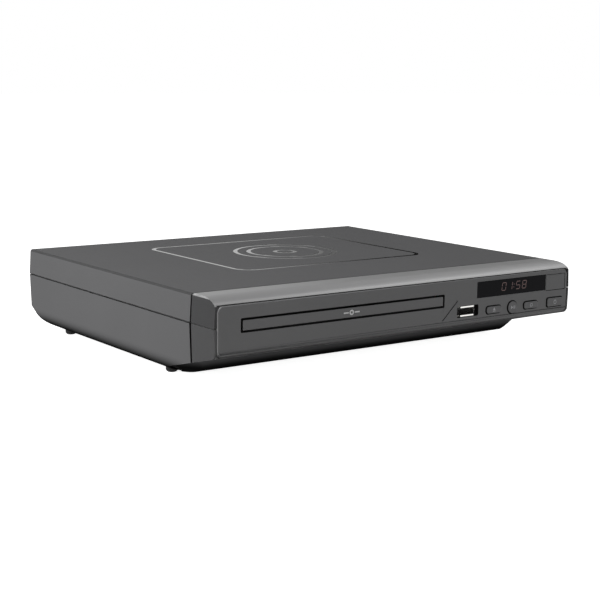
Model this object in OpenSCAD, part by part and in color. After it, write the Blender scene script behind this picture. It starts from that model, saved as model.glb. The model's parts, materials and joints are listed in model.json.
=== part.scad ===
// Compact disc player with a front-loading tray.
// X runs across the front, Y from front to back, Z up. The origin is under the middle, on the floor.

/* [Case] */
// Width of the case at its widest line
body_w = 245; // [240:1:256]
// Depth of the case behind the front unit
case_d = 185.5; // [183:0.5:196]
// Height of the case without its feet
body_h = 45.5; // [45:0.5:52]
// Height of the feet
foot_h = 4.2; // [3:0.1:6]
// Wall of the plastic shells
wall = 2.2; // [1.8:0.1:2.4]
// Height of the joint line between the shells, above the base
split_h = 30.6; // [29:0.2:32]
// How far each side leans in from the joint line to the top and to the base
draft = 0.8; // [0.4:0.1:1.2]
// Radius of the long top edges
edge_r = 1.6; // [1:0.1:2.2]
// Radius where the sides turn under
hip_r = 6; // [5:0.5:8]
// Radius of the underside beside them
bilge_r = 15; // [13:0.5:16]
// Length of the rising underside at the back
stern_len = 19; // [17:0.5:22]
// Rise of the underside at the back edge
stern_rise = 11.2; // [9:0.2:12]
// Gap between the two shells at the joint line
shell_gap = 0.3; // [0.2:0.05:0.4]

/* [Front unit] */
// Depth of the front unit
front_d = 22.7; // [22:0.1:25]
// Rise of the underside at the front edge
chin_front_rise = 16.3; // [15.6:0.1:17]
// Rise of the underside where the case begins
chin_seam_rise = 10.3; // [9:0.1:12]
// Where the curved front of the pan reaches the base, behind the joint
bow_y = 21.4; // [20:0.1:23]
// Radius of that curve
bow_r = 12.3; // [11:0.1:14]
// Distance from the side of the case to the slanted facet at each lower front corner
cheek_in = 12.5; // [11.5:0.5:13.5]
// Tilt of that facet from level
cheek_tilt = 44; // [40:1:46]
// Turn of that facet from the side towards the front
cheek_turn = 43; // [38:1:48]
// Depth of the curve over the top of the front
nose_d = 12.7; // [11:0.1:14]
// Height of that curve
nose_h = 5; // [4:0.1:5.5]
// Open joint between the front unit and the case
seam = 1.2; // [0.8:0.1:1.4]
// Length of the spigots that enter the case
spigot_len = 4; // [3:0.5:5]
// Wall of the spigots
spigot_wall = 1.5; // [1.2:0.1:1.8]

/* [Control panel] */
// Margin of the panel from each side of the case
plate_margin = 1.8; // [1.6:0.1:2.2]
// Height of the top of the panel above the base
plate_top = 41.9; // [41:0.1:42.5]
// Thickness of the panel
plate_t = 2.2; // [1.8:0.1:2.6]
// Height of the crease above the base, where the panel turns under
crease_h = 19.3; // [18.8:0.1:20]
// Corner radius of the panel
plate_r = 3.5; // [2:0.1:4]
// Clearance round the panel
plate_gap = 0.45; // [0.3:0.05:0.5]
// Thickness of the wall that carries the panel
carrier_t = 2; // [1.6:0.1:2.4]
// Width of the diagonal groove
slash_w = 1; // [0.6:0.1:1.4]

/* [Disc tray] */
// Centre of the tray, in from the left side
tray_inset = 81.6; // [81:0.2:84]
// Width of the opening for the tray
mouth_w = 132.1; // [131.5:0.1:133]
// Height of the opening for the tray
mouth_h = 7; // [6.8:0.1:7.4]
// Height of the middle of that opening above the base
mouth_z = 31.3; // [31.1:0.1:31.5]
// Gap round the tray front in its opening
flap_gap = 1; // [0.6:0.05:1.1]
// Thickness of the tray front
flap_t = 3; // [2.4:0.1:3.4]
// Width of the tray
tray_w = 129; // [128:0.5:130]
// Room from the back end of the tray to the back of the case
tray_back_in = 27.5; // [26.5:0.5:29.5]
// Disc centre behind the joint
disc_y = 46; // [45:0.5:47]
// Diameter of the disc recess
disc_d = 121.5; // [121:0.5:123]
// Depth of the disc recess
disc_depth = 2; // [1.4:0.1:2.2]
// Floor of the tray
tray_floor = 1.6; // [1.4:0.1:1.8]
// Depth of the rails and the rack under the floor
rail_h = 1.7; // [1.6:0.1:1.9]
// Width of the open slot for the pickup
slot_w = 44; // [43:0.5:46]
// Travel of the tray
tray_travel = 132; // [128:1:133]

/* [Buttons and sockets] */
// How far the buttons stand out of the panel
button_proud = 0.8; // [0.4:0.1:1]
// Clearance round each button
button_gap = 0.4; // [0.3:0.05:0.5]
// Travel of the buttons
button_travel = 0.6; // [0.4:0.1:0.6]
// Height of the button row above the base
button_z = 23.2; // [23:0.1:23.4]
// Height of the two pill buttons
button_h = 3.9; // [3.6:0.1:4.4]
// Width of the pill buttons
button_w = 10.9; // [10:0.1:11.6]
// Height of the power button
power_h = 4.9; // [4.4:0.1:5.2]
// Width of the power button
power_w = 12.1; // [11:0.1:12.6]
// Diameter of the round button
round_d = 6.9; // [6.4:0.1:7.4]
// Open button, in from the right side
open_in = 60.4; // [60:0.1:61]
// Round button, in from the right side
play_in = 45.8; // [45.4:0.1:46.4]
// Stop button, in from the right side
stop_in = 31.2; // [30.8:0.1:31.6]
// Power button, in from the right side
power_in = 11.8; // [11.4:0.1:12.2]
// USB socket, in from the right side
usb_in = 79.8; // [79.4:0.1:80.2]
// Height of the USB socket above the base
usb_z = 24.1; // [23.9:0.1:24.3]
// Width of the USB cut-out
usb_w = 15.6; // [15:0.1:16]
// Height of the USB cut-out
usb_h = 6; // [5.8:0.1:6.4]
// Display window, in from the right side
display_in = 46.4; // [46:0.1:46.8]
// Width of the display window
display_w = 53.4; // [52:0.2:53.6]
// Height of the display window
display_h = 9.1; // [8.6:0.1:9.4]
// Height of the middle of the display window above the base
display_z = 35.2; // [35:0.1:35.4]
// Plain plate, in from the right side
sensor_in = 11.3; // [11:0.1:11.6]
// Width of the plain plate
sensor_w = 15.4; // [14.8:0.2:15.8]
// Gap round the window and the plain plate
window_gap = 0.15; // [0.1:0.05:0.2]

/* [Loader] */
// Wall and deck of the loader frame
loader_t = 2; // [1.8:0.1:2.2]
// Room between the tray and the loader walls
loader_gap = 3; // [2.8:0.1:3.2]
// Room from the back end of the tray to the back of the loader frame
loader_room = 4; // [3:0.5:5]
// Height of the loader deck above the base
deck_z = 14.5; // [14.2:0.1:14.8]
// Running clearance between flat guides
guide_gap = 0.25; // [0.2:0.05:0.3]
// Gear module of the rack
rack_m = 1; // [1]
// Teeth of the gear that drives the rack
rack_teeth = 16; // [16]
// Gear module of the first stage
stage_m = 0.8; // [0.8]
// Teeth of the large gear
drive_teeth = 36; // [36]
// Teeth of the pinion under the belt pulley
pinion_teeth = 12; // [12]
// Diameter of the large belt pulley
pulley_d = 24; // [22:1:25]
// Diameter of the motor pulley
motor_pulley_d = 6; // [5.5:0.5:7]
// Diameter of the gear posts
post_d = 3; // [2.8:0.1:3.2]
// Radial clearance of a gear on its post
bore_gap = 0.05; // [0.03:0.01:0.08]

/* [Disc drive] */
// Diameter of the turntable
platter_d = 30; // [28:1:32]
// Width of the lift frame
lift_w = 78; // [77:0.5:79]
// Pivot of the lift frame, in from the back of the loader frame
lift_pivot_in = 11; // [10.5:0.5:12]
// Diameter of the pivot pins
pivot_d = 4; // [3.6:0.1:4.4]
// Largest tilt of the lift frame, in degrees
lift_tilt = 2.6; // [2:0.1:2.8]
// Travel of the cam slider
cam_travel = 15; // [13:0.5:16]
// Travel of the pickup
sled_travel = 32; // [28:1:33]
// Diameter of the guide rods
rod_d = 3; // [2.6:0.1:3.2]
// Diameter of the lead screw
screw_d = 3; // [2.6:0.1:3.4]

/* [Boards and rear] */
// Thickness of the circuit boards
board_t = 1.6; // [1.2:0.1:1.6]
// Thickness of the rear panel
panel_t = 1.2; // [1:0.1:1.6]
// How far the rear panel sits inside the back edge
panel_in = 1.8; // [1.4:0.1:2.4]
// How far the sockets reach past the back edge
jack_reach = 5.3; // [4:0.1:7]
// Outer diameter of the phono sockets
jack_d = 8.3; // [8:0.1:8.6]
// Distance between the phono sockets
jack_pitch = 14; // [13:0.5:15]

/* [Hidden] */
$fn = 48;
eps = 0.01;

// Overall places
hw = body_w / 2;
base_z = foot_h;
top_z = foot_h + body_h;
split_z = base_z + split_h;
low_hw = hw - draft;
mid_y = (case_d + jack_reach - front_d - button_proud) / 2;

// Front unit
chin_slope = (chin_front_rise - chin_seam_rise) / front_d;
chin_lean = atan(chin_slope);
hip_turn = 50;
hip_z = base_z + bilge_r - (bilge_r - hip_r) * sin(hip_turn);
plate_hw = hw - plate_margin;
plate_top_z = base_z + plate_top;
crease_z = base_z + crease_h;
chin_r = (crease_h - chin_front_rise) / tan((90 - chin_lean) / 2);
plate_turn = 250;
plate_edge = 0.6;
plate_low_z = round(10 * (crease_z - sqrt(pow(chin_r, 2) - pow(chin_r + plate_edge - plate_t, 2)))) / 10;
plate_mid = (plate_top_z + plate_low_z) / 2;
plate_high = plate_top_z - plate_low_z;
plate_back = -front_d + plate_t;
carrier_y = plate_back + 0.2;
carrier_back = carrier_y + carrier_t;
usb_x = hw - usb_in;
usb_mid = base_z + usb_z;
row_z = base_z + button_z;
open_x = hw - open_in;
play_x = hw - play_in;
stop_x = hw - stop_in;
power_x = hw - power_in;
display_x = hw - display_in;
display_mid = base_z + display_z;
sensor_x = hw - sensor_in;
sensor_mid = display_mid - 0.4;
unit_back = -seam;

// Tray
cx = -hw + tray_inset;
mouth_mid = base_z + mouth_z;
tray_low = mouth_mid - mouth_h / 2 + 0.33;
floor_low = tray_low + rail_h;
floor_top = floor_low + tray_floor;
tray_top = floor_top + disc_depth;
tray_back = case_d - tray_back_in;
mouth_right = cx + mouth_w / 2;
flap_h = mouth_h - 2 * flap_gap;
flap_w = mouth_w - 2 * flap_gap;
tray_front = -front_d + flap_t;

// Loader
deck_low = base_z + deck_z;
deck_top = deck_low + loader_t;
loader_hw = tray_w / 2 + loader_gap;
loader_front = 2;
loader_back = tray_back + loader_room;
wall_top = tray_top + 3.4;
lip_t = 1.5;
rack_r = rack_m * rack_teeth / 2;
rack_x = cx - tray_w / 2 + 11;
gear_x = rack_x + rack_r;
gear_y = 18;
rack_low_y = 9;
stage_r = stage_m * drive_teeth / 2;
pinion_r = stage_m * pinion_teeth / 2;
mesh_gap = 0.12;
pinion_angle = 105;
pulley_x = gear_x + (stage_r + pinion_r + mesh_gap) * cos(pinion_angle);
pulley_y = gear_y + (stage_r + pinion_r + mesh_gap) * sin(pinion_angle);
motor_x = pulley_x - 1;
motor_y = pulley_y + 31;
pulley_z = deck_top + 0.4;
pulley_h = 3;
stage_z = pulley_z + pulley_h + 0.5;
stage_h = 3;
pinion_h = stage_h + 0.4;
belt_t = 1.2;
belt_gap = 0.15;
pulley_groove = 1.3;
motor_groove = 0.7;
post_top = floor_low - 0.9;

// Disc drive
platter_top = floor_top + 1;
platter_h = 1.8;
spindle_gap = 0.4;
plate_z = platter_top - 8.6;
traverse_t = 1.2;
motor_top = platter_top - platter_h - spindle_gap;
lift_top = plate_z - 3;
lift_h = 4;
lift_front = 29;
lift_pivot_y = loader_back - lift_pivot_in;
lift_back = lift_pivot_y + 3;
lift_left = cx - lift_w / 2 + 5;
lift_right = lift_left + lift_w;
lift_window_gap = 2;
pivot_z = lift_top - lift_h / 2;
pin_d = 3;
pin_arm = lift_pivot_y - lift_front + 1.5;
cam_drop = pin_arm * sin(lift_tilt);
cam_t = 2;
cam_front = lift_front - cam_t - 0.6;
cam_slot = pin_d + 0.7;
rod_x = 24;
rod_z = tray_low - 0.6 - rod_d / 2;
rod_front = 62;
sled_y = 76;
sled_len = 25;
rod_back = sled_y + sled_len / 2 + sled_travel + 3.5;
screw_x = cx + 27;
motor_front = rod_back + 0.2;
sled_motor_len = 14;
sled_motor_d = 10;
screw_z = plate_z - 2.8;
puck_d = 30;
puck_low = tray_top + 0.3;
bridge_z = wall_top;
bridge_t = 1.5;
bridge_hole = 24;

// Rear and boards
floor_z = base_z + wall;
panel_front = case_d - panel_in - panel_t;
rear_top_z = top_z - wall - 0.3;
rear_low_z = base_z + wall + stern_rise * (1 - panel_in / stern_len) + 0.3;
board_right = hw - 12.5;
main_z = base_z + 15.5;
main_front = panel_front - 80;
main_left = cx + loader_hw + loader_t + 2.9;
power_z = base_z + 7;
power_left = board_right - 57.5;
power_front = 24;
power_back = main_front - 4;
jack_z = main_z + 14;
jack_x = board_right - 66.5;
jack_top = jack_z + 8.8;
hdmi_x = board_right - 22;
hdmi_w = 15;
hdmi_h = 5.6;
hdmi_z = main_z + board_t + 0.2 + hdmi_h / 2;
inlet_x = -hw + 40;
inlet_z = base_z + 26;
ear_x = 17;
front_board_y = carrier_back + 5.6;
switch_reach = 3;
foot_x = hw - 15.5;
foot_ys = [43.5, case_d - 23];
foot_d = 6.5;
boss_x = hw - 7.5;
boss_ys = [26, case_d - 13.5];
boss_d = 7;
shank_d = 3;
head_d = 6.4;
head_z = base_z + 12;

// ---------------------------------------------------------------- outlines

function arc(x, y, r, a0, a1, n) =
    [for (i = [0:n]) let (a = a0 + (a1 - a0) * i / n) [x + r * cos(a), y + r * sin(a)]];

function chin_z(y) = base_z + chin_seam_rise - chin_slope * y;

// Half of the case section from base to top, moved in by an amount
function half_section(in, top_r) = concat(
    arc(low_hw - hip_r - (bilge_r - hip_r) * cos(hip_turn), base_z + bilge_r, bilge_r - in,
        -90, -hip_turn, 7),
    arc(low_hw - hip_r, hip_z, hip_r - in, -hip_turn, 0, 7),
    [[hw - in, split_z]],
    arc(hw - draft - in - top_r, top_z - in - top_r, top_r, 0, 90, 6)
);

function mirrored(points) = [for (i = [len(points) - 1:-1:0]) [-points[i][0], points[i][1]]];

module case_section(in, top_r) {
    points = half_section(in, top_r);
    polygon(concat(points, mirrored(points)));
}

// Side outline of the case, moved up from below by an amount
module case_profile(in, y0, y1, high) {
    slope = stern_rise / stern_len;
    // The curve starts where it meets the line of the chin
    r = bow_r - in;
    fall = base_z + bow_r - chin_z(bow_y) - in / cos(chin_lean);
    a = -180 + asin(fall * cos(chin_lean) / r) - chin_lean;
    polygon(concat(
        [[y0, chin_z(y0) + in / cos(chin_lean)]],
        arc(bow_y, base_z + bow_r, r, a, -90, 8),
        [
            [case_d - stern_len, base_z + in],
            [y1, base_z + in + slope * (y1 - case_d + stern_len)],
            [y1, high],
            [y0, high]
        ]
    ));
}

// Side outline of the front unit
function nose_points(in) = [for (i = [0:12]) let (a = 90 + 90 * i / 12)
    [-front_d + nose_d + (nose_d - in) * cos(a), top_z - nose_h + (nose_h - in) * sin(a)]];

module unit_profile(in, y1) {
    polygon(concat(
        [[y1, chin_z(y1) + in / cos(chin_lean)]],
        [[y1, top_z - in]],
        nose_points(in),
        arc(-front_d + chin_r, crease_z, chin_r - in, 180, 270 - chin_lean, 8)
    ));
}

// Extrudes a section along Y from one place to another
module along_y(y0, y1) {
    translate([0, y1, 0]) rotate([90, 0, 0]) linear_extrude(y1 - y0) children();
}

// Extrudes a side outline along X from one place to another
module along_x(x0, x1) {
    translate([x0, 0, 0]) rotate([90, 0, 90]) linear_extrude(x1 - x0) children();
}

// Rounded rectangle centred on the origin
module plate_2d(w, h, r) {
    square([w - 2 * r, h], center = true);
    square([w, h - 2 * r], center = true);
    for (x = [-1, 1], y = [-1, 1]) translate([x * (w / 2 - r), y * (h / 2 - r)]) circle(r);
}

// Rounded rectangle standing in the panel's plane
module facing(x, z, y0, y1, w, h, r) {
    translate([x, y1, z]) rotate([90, 0, 0]) linear_extrude(y1 - y0) plate_2d(w, h, r);
}

module block(x0, x1, y0, y1, z0, z1) {
    translate([x0, y0, z0]) cube([x1 - x0, y1 - y0, z1 - z0]);
}

module pin_z(x, y, z0, z1, d) {
    translate([x, y, z0]) cylinder(h = z1 - z0, d = d);
}

module pin_y(x, z, y0, y1, d) {
    translate([x, y1, z]) rotate([90, 0, 0]) cylinder(h = y1 - y0, d = d);
}

module pin_x(y, z, x0, x1, d) {
    translate([x0, y, z]) rotate([0, 90, 0]) cylinder(h = x1 - x0, d = d);
}

// Every piece is drawn from the joint line and moved to the middle here
module placed() {
    translate([0, -mid_y, 0]) children();
}

// Gear outline with involute flanks
function inv(a) = tan(a) * 180 / PI - a;
function half_tooth(r, rp, m, slack) =
    let (rb = rp * cos(20), a = acos(rb / max(r, rb)))
    45 * m / rp - slack * 90 / (PI * rp) + inv(20) - inv(a);

module gear_2d(teeth, m, turn, slack) {
    rp = teeth * m / 2;
    radii = [rp - 1.15 * m, rp - 0.5 * m, rp, rp + 0.5 * m, rp + 0.9 * m];
    points = [for (k = [0:teeth - 1]) let (mid = turn + k * 360 / teeth) each concat(
        [for (r = radii) let (h = half_tooth(r, rp, m, slack)) [r * cos(mid - h), r * sin(mid - h)]],
        [for (i = [len(radii) - 1:-1:0])
            let (r = radii[i], h = half_tooth(r, rp, m, slack))
            [r * cos(mid + h), r * sin(mid + h)]]
    )];
    polygon(points);
}

// ---------------------------------------------------------------- case

// Outline bead and disc rings in the top of the case
module top_ornament() {
    bead_x = 5.5;
    bead_y = 100;
    bead_size = [132, 108];
    bead_w = 2.6;
    bead_r = 10.5;
    deep = 0.3;
    ring_ds = [62.8, 46.8, 14.8];
    translate([bead_x, bead_y, top_z - deep]) linear_extrude(deep + 1) difference() {
        plate_2d(bead_size[0], bead_size[1], bead_r);
        plate_2d(bead_size[0] - 2 * bead_w, bead_size[1] - 2 * bead_w, bead_r - bead_w);
    }
    for (d = ring_ds) translate([bead_x, bead_y, top_z - deep]) difference() {
        cylinder(h = deep + 1, d = d);
        translate([0, 0, -1]) cylinder(h = deep + 3, d = d - 2 * bead_w);
    }
}

// Space under the slanted facet and the line of the chin at each lower front corner
module cheeks(in) {
    rise = in / cos(chin_lean);
    back = 40;
    for (s = [-1, 1]) intersection() {
        translate([s * (hw - cheek_in), bow_y, base_z])
            rotate([0, 180 - cheek_tilt, s * (90 - cheek_turn) - 90])
                translate([-40, -40, -in]) cube([80, 80, 40]);
        along_x(min(0, s * (hw + 1)), max(0, s * (hw + 1))) polygon([
            [-2, -1], [-2, chin_z(-2) + rise], [back, chin_z(back) + rise], [back, -1]
        ]);
    }
}

module case_bosses(z0, z1, d) {
    for (x = [-1, 1], y = boss_ys) pin_z(x * boss_x, y, z0, z1, d);
}

module top_cover() {
    post_low = split_z + shell_gap;
    color("#5b5b5d") placed() difference() {
        union() {
            difference() {
                along_y(0, case_d) case_section(0, edge_r);
                along_y(-1, case_d + 1) case_section(wall, 0.6);
                block(-hw - 1, hw + 1, -1, case_d + 1, 0, split_z + shell_gap);
                top_ornament();
            }
            block(-hw + wall + 0.5, hw - wall - 0.5, case_d - panel_in, case_d, rear_top_z, top_z - 1);
            intersection() {
                case_bosses(post_low, top_z - 1, boss_d);
                along_y(0, case_d) case_section(1, 0.6);
            }
        }
        case_bosses(0, top_z - wall - 2, shank_d + 0.1);
    }
}

module under_slots() {
    for (x = [-40:8:40]) block(x - 1.25, x + 1.25, 76, 108, 0, base_z + wall + 1);
}

module foot_pads(z1, d) {
    for (x = [-1, 1], y = foot_ys) pin_z(x * foot_x, y, base_z, z1, d);
}

// Screw post standing on the floor, with its pilot hole
module floor_post(p, top, d) {
    difference() {
        pin_z(p[0], p[1], base_z, top, d);
        pin_z(p[0], p[1], top - 8, top + 1, shank_d + 0.1);
    }
}

module floor_posts() {
    for (p = loader_feet()) floor_post(p, deck_low, 7);
    for (p = main_feet()) floor_post(p, main_z, 6);
    for (p = power_feet()) floor_post(p, power_z, 6);
    case_bosses(base_z, split_z, boss_d);
}

module lower_chassis() {
    color("#66666a") placed() difference() {
        union() {
            difference() {
                intersection() {
                    along_y(0, case_d) case_section(0, edge_r);
                    along_x(-hw, hw) case_profile(0, 0, case_d, split_z);
                }
                difference() {
                    intersection() {
                        along_y(-1, case_d + 1) case_section(wall, 0.6);
                        along_x(-hw, hw) case_profile(wall, -1, case_d + 1, top_z);
                    }
                    cheeks(wall);
                }
                cheeks(0);
                under_slots();
            }
            intersection() {
                floor_posts();
                along_y(1, case_d - 1) case_section(1, 0.6);
                along_x(-hw, hw) case_profile(1, 1, case_d - 1, split_z);
            }
            foot_pads(base_z + wall + 1, foot_d + 2);
        }
        case_bosses(0, top_z, shank_d + 0.4);
        case_bosses(0, head_z, head_d);
    }
}

// Places of the screw posts of the loader and the boards
function loader_feet() = corners([cx - loader_hw + 4.5, cx + loader_hw - 4.5], [14.5, loader_back - 12]);
function corners(xs, ys) = [for (x = xs, y = ys) [x, y]];
function main_feet() = corners([main_left + 5, board_right - 5], [main_front + 5, panel_front - 22]);
function power_feet() = corners([power_left + 5, board_right - 5], [power_front + 5, power_back - 5]);

module rear_panel() {
    half = hw - wall - draft - 0.4;
    color("#3a3a3c") placed() difference() {
        block(-half, half, panel_front, panel_front + panel_t, rear_low_z, rear_top_z);
        for (i = [0:2]) pin_y(jack_x + i * jack_pitch, jack_z, panel_front - 1, case_d, jack_d + 0.6);
        facing(hdmi_x, hdmi_z, panel_front - 1, case_d, hdmi_w + 0.8, hdmi_h + 0.8, 0.8);
        facing(inlet_x, inlet_z, panel_front - 1, case_d, 20.6, 14.6, 4);
        for (x = [-24:6:18]) block(x - 1.25, x + 1.25, panel_front - 1, case_d, base_z + 22, base_z + 36);
        for (p = panel_screws()) pin_y(p[0], p[1], panel_front - 1, case_d, shank_d + 0.4);
    }
}

function panel_screws() =
    [[jack_x + jack_pitch / 2, jack_top], [inlet_x - ear_x, inlet_z], [inlet_x + ear_x, inlet_z]];

module feet() {
    dome = 1.6;
    rim = [[foot_d / 2, base_z], [0, base_z]];
    color("#1d1d1f") placed() for (x = [-1, 1], y = foot_ys) translate([x * foot_x, y, 0])
        rotate_extrude() polygon(concat([[0, 0]], arc(foot_d / 2 - dome, dome, dome, -90, 0, 6), rim));
}

module screw_z(x, y, under, length, head_d, head_h) {
    pin_z(x, y, under, under + length, shank_d);
    difference() {
        pin_z(x, y, under - head_h, under, head_d);
        translate([x, y, under - head_h]) {
            cube([0.8, 3.2, 1.6], center = true);
            cube([3.2, 0.8, 1.6], center = true);
        }
    }
}

module case_screws() {
    color("#303032") placed() {
        for (x = [-1, 1], y = boss_ys)
            screw_z(x * boss_x, y, head_z, split_z + 8 - head_z, head_d - 0.8, 2);
        for (p = panel_screws()) difference() {
            union() {
                pin_y(p[0], p[1], panel_front - 5, panel_front + panel_t, shank_d);
                pin_y(p[0], p[1], panel_front + panel_t, case_d - 0.2, 5.4);
            }
            translate([p[0], case_d - 0.2, p[1]]) {
                cube([0.8, 1.6, 3.2], center = true);
                cube([3.2, 1.6, 0.8], center = true);
            }
        }
    }
}

// ---------------------------------------------------------------- front unit

// Every opening that goes through the panel and its carrier
module front_openings(y0, y1, grow) {
    facing(cx, mouth_mid, y0, y1, mouth_w + grow, mouth_h + grow, 0.5);
    facing(usb_x, usb_mid, y0, y1, usb_w + grow, usb_h + grow, 0.8);
    rim = 2 * button_gap;
    for (x = [open_x, stop_x]) facing(x, row_z, y0, y1, button_w + rim, button_h + rim, 1.9);
    facing(power_x, row_z, y0, y1, power_w + rim, power_h + rim, 1.2);
    pin_y(play_x, row_z, y0, y1, round_d + rim);
}

module unit_solid(in) {
    intersection() {
        along_x(-hw, hw) unit_profile(in, unit_back);
        along_y(-front_d, unit_back) case_section(in, in > 0 ? 0.6 : edge_r);
    }
}

module panel_pocket() {
    rim = 2 * plate_gap;
    facing(0, plate_mid, -front_d - 1, carrier_y, 2 * plate_hw + rim, plate_high + rim,
        plate_r + plate_gap);
}

module unit_shell() {
    difference() {
        unit_solid(0);
        intersection() {
            along_x(-hw, hw) unit_profile(wall, 1);
            along_y(carrier_back, 1) case_section(wall, 0.6);
        }
        panel_pocket();
    }
}

module spigot(z0, z1) {
    in = wall + 0.3;
    intersection() {
        difference() {
            along_y(unit_back - 2, spigot_len) case_section(in, 0.6);
            along_y(unit_back - 3, spigot_len + 1) case_section(in + spigot_wall, 0.4);
        }
        block(-hw, hw, unit_back - 2, spigot_len, z0, z1);
    }
}

module front_top_trim() {
    color("#84868a") placed() {
        difference() {
            union() {
                unit_shell();
                difference() {
                    along_y(carrier_back, unit_back - 1) case_section(wall - 0.4, 0.6);
                    along_y(carrier_back - 1, unit_back) case_section(wall + 1.8, 0.6);
                }
                spigot(split_z + shell_gap, top_z);
            }
            block(-hw - 1, hw + 1, -front_d - 1, spigot_len + 1, 0, split_z + shell_gap);
            block(-plate_hw, plate_hw, -front_d - 1, carrier_back + 0.2, 0, plate_top_z + 0.3);
        }
    }
}

module front_lower_frame() {
    color("#606266") placed() difference() {
        union() {
            difference() {
                union() {
                    unit_shell();
                    spigot(base_z + chin_seam_rise + wall + 0.2, top_z);
                }
                block(-hw - 1, hw + 1, -front_d - 1, spigot_len + 1, split_z, top_z + 1);
            }
            block(-plate_hw + 0.3, plate_hw - 0.3, carrier_y, carrier_back,
                chin_z(carrier_y) + 1, plate_top_z);
        }
        front_openings(carrier_y - 1, carrier_back + 1, 0.2);
        facing(display_x, display_mid, carrier_y - 1, carrier_back + 1,
            display_w - 8, display_h - 1, 0.5);
        pin_y(sensor_x, display_mid, carrier_y - 1, carrier_back + 1, 5);
    }
}

module face_plate() {
    slash_x = hw - 93;
    slash_z = base_z + 25.5;
    color("#515154") placed() difference() {
        intersection() {
            facing(0, plate_mid, -front_d, plate_back, 2 * plate_hw, plate_high, plate_r);
            along_x(-hw, hw) polygon(concat(
                [[0, base_z], [0, top_z], [-front_d, top_z]],
                arc(-front_d + chin_r, crease_z, chin_r, 180, plate_turn, 8)
            ));
        }
        front_openings(-front_d - 1, plate_back + 1, 0);
        facing(display_x, display_mid, -front_d - 1, plate_back + 1, display_w, display_h, 0.4);
        facing(sensor_x, sensor_mid, -front_d - 1, plate_back + 1, sensor_w, display_h, 0.4);
        translate([slash_x, -front_d + 0.6, slash_z]) rotate([0, -43.5, 0])
            translate([-7.3, -1.6, -slash_w / 2]) cube([14.6, 1.6, slash_w]);
    }
}

module display_window() {
    color("#18181b") placed() {
        facing(display_x, display_mid, -front_d + 0.1, plate_back,
            display_w - 2 * window_gap, display_h - 2 * window_gap, 0.3);
    }
}

module sensor_plate() {
    color("#565659") placed() {
        facing(sensor_x, sensor_mid, -front_d + 0.1, plate_back,
            sensor_w - 2 * window_gap, display_h - 2 * window_gap, 0.3);
    }
}

// A push button: cap, collar behind the carrier and plunger to its switch
module push_button(x, w, h, r, tint) {
    stem_back = front_board_y - switch_reach - button_travel - 0.1;
    color(tint) placed() {
        facing(x, row_z, -front_d - button_proud, carrier_back + 0.4, w, h, r);
        facing(x, row_z, carrier_back + 0.35, carrier_back + 1.2, w + 2, h + 0.3, r);
        pin_y(x, row_z, carrier_back + 1.2, stem_back, 3);
    }
}

module open_button() {
    push_button(open_x, button_w, button_h, 1.5, "#77777a");
}

module play_button() {
    push_button(play_x, round_d, round_d, round_d / 2 - 0.01, "#77777a");
}

module stop_button() {
    push_button(stop_x, button_w, button_h, 1.5, "#77777a");
}

module power_button() {
    push_button(power_x, power_w, power_h, 1, "#5a5a5c");
}

// ---------------------------------------------------------------- front board

usb_shell = [13.1, 5.3];
usb_front = plate_back - 0.3;
usb_back = carrier_back + 12;

module usb_socket() {
    t = 0.35;
    half = usb_shell[1] / 2;
    lip_half = usb_h / 2 - 0.1;
    lip_len = 1.4;
    color("#c9c9cc") placed() {
        difference() {
            facing(usb_x, usb_mid, usb_front, usb_back, usb_shell[0], usb_shell[1], 0.4);
            facing(usb_x, usb_mid, usb_front - 1, usb_back - t,
                usb_shell[0] - 2 * t, usb_shell[1] - 2 * t, 0.2);
        }
        for (s = [0, 1]) translate([0, 0, usb_mid]) mirror([0, 0, s]) along_x(usb_x - 5, usb_x + 5)
            polygon([
                [usb_front + 0.5, half - t], [usb_front - lip_len, lip_half - t],
                [usb_front - lip_len, lip_half], [usb_front + 0.5, half]
            ]);
    }
}

module usb_tongue() {
    inner_w = usb_shell[0] - 1;
    color("#2c2c2f") placed() {
        facing(usb_x, usb_mid + 1.1, usb_front + 4.6, usb_back - 1.5, inner_w - 1, 2, 0.2);
        facing(usb_x, usb_mid, usb_back - 3.4, usb_back - 0.5, inner_w, usb_shell[1] - 1, 0.2);
    }
}

module front_board() {
    color("#2f6b45") placed() difference() {
        union() {
            block(usb_x - usb_shell[0] / 2 - 6.65, hw - 5, front_board_y, front_board_y + board_t,
                base_z + 17.8, tray_low - 0.4);
            block(mouth_right + 4.35, hw - 5, front_board_y, front_board_y + board_t,
                base_z + 17.8, base_z + 40);
        }
        facing(usb_x, usb_mid, front_board_y - 1, front_board_y + 3,
            usb_shell[0] + 0.4, usb_shell[1] + 0.4, 0.4);
    }
}

module tact_switches() {
    color("#3b3b3e") placed() for (x = [open_x, play_x, stop_x, power_x]) {
        block(x - 3, x + 3, front_board_y - 2.2, front_board_y, row_z - 3, row_z + 3);
        pin_y(x, row_z, front_board_y - switch_reach, front_board_y - 2, 3.4);
    }
}

module display_module() {
    color("#26262a") placed() {
        block(display_x - 22, display_x + 22, carrier_y + 0.2, front_board_y - 0.5,
            display_mid - 3.8, display_mid + 3.8);
        for (i = [-10:10]) pin_y(display_x + i * 2, display_mid, front_board_y - 0.6, front_board_y, 0.6);
    }
}

module ir_receiver() {
    color("#202024") placed() {
        block(sensor_x - 3, sensor_x + 3, front_board_y - 4.2, front_board_y,
            display_mid - 4, display_mid + 3);
        translate([sensor_x, front_board_y - 4.2, display_mid]) sphere(d = 4);
    }
}

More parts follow.
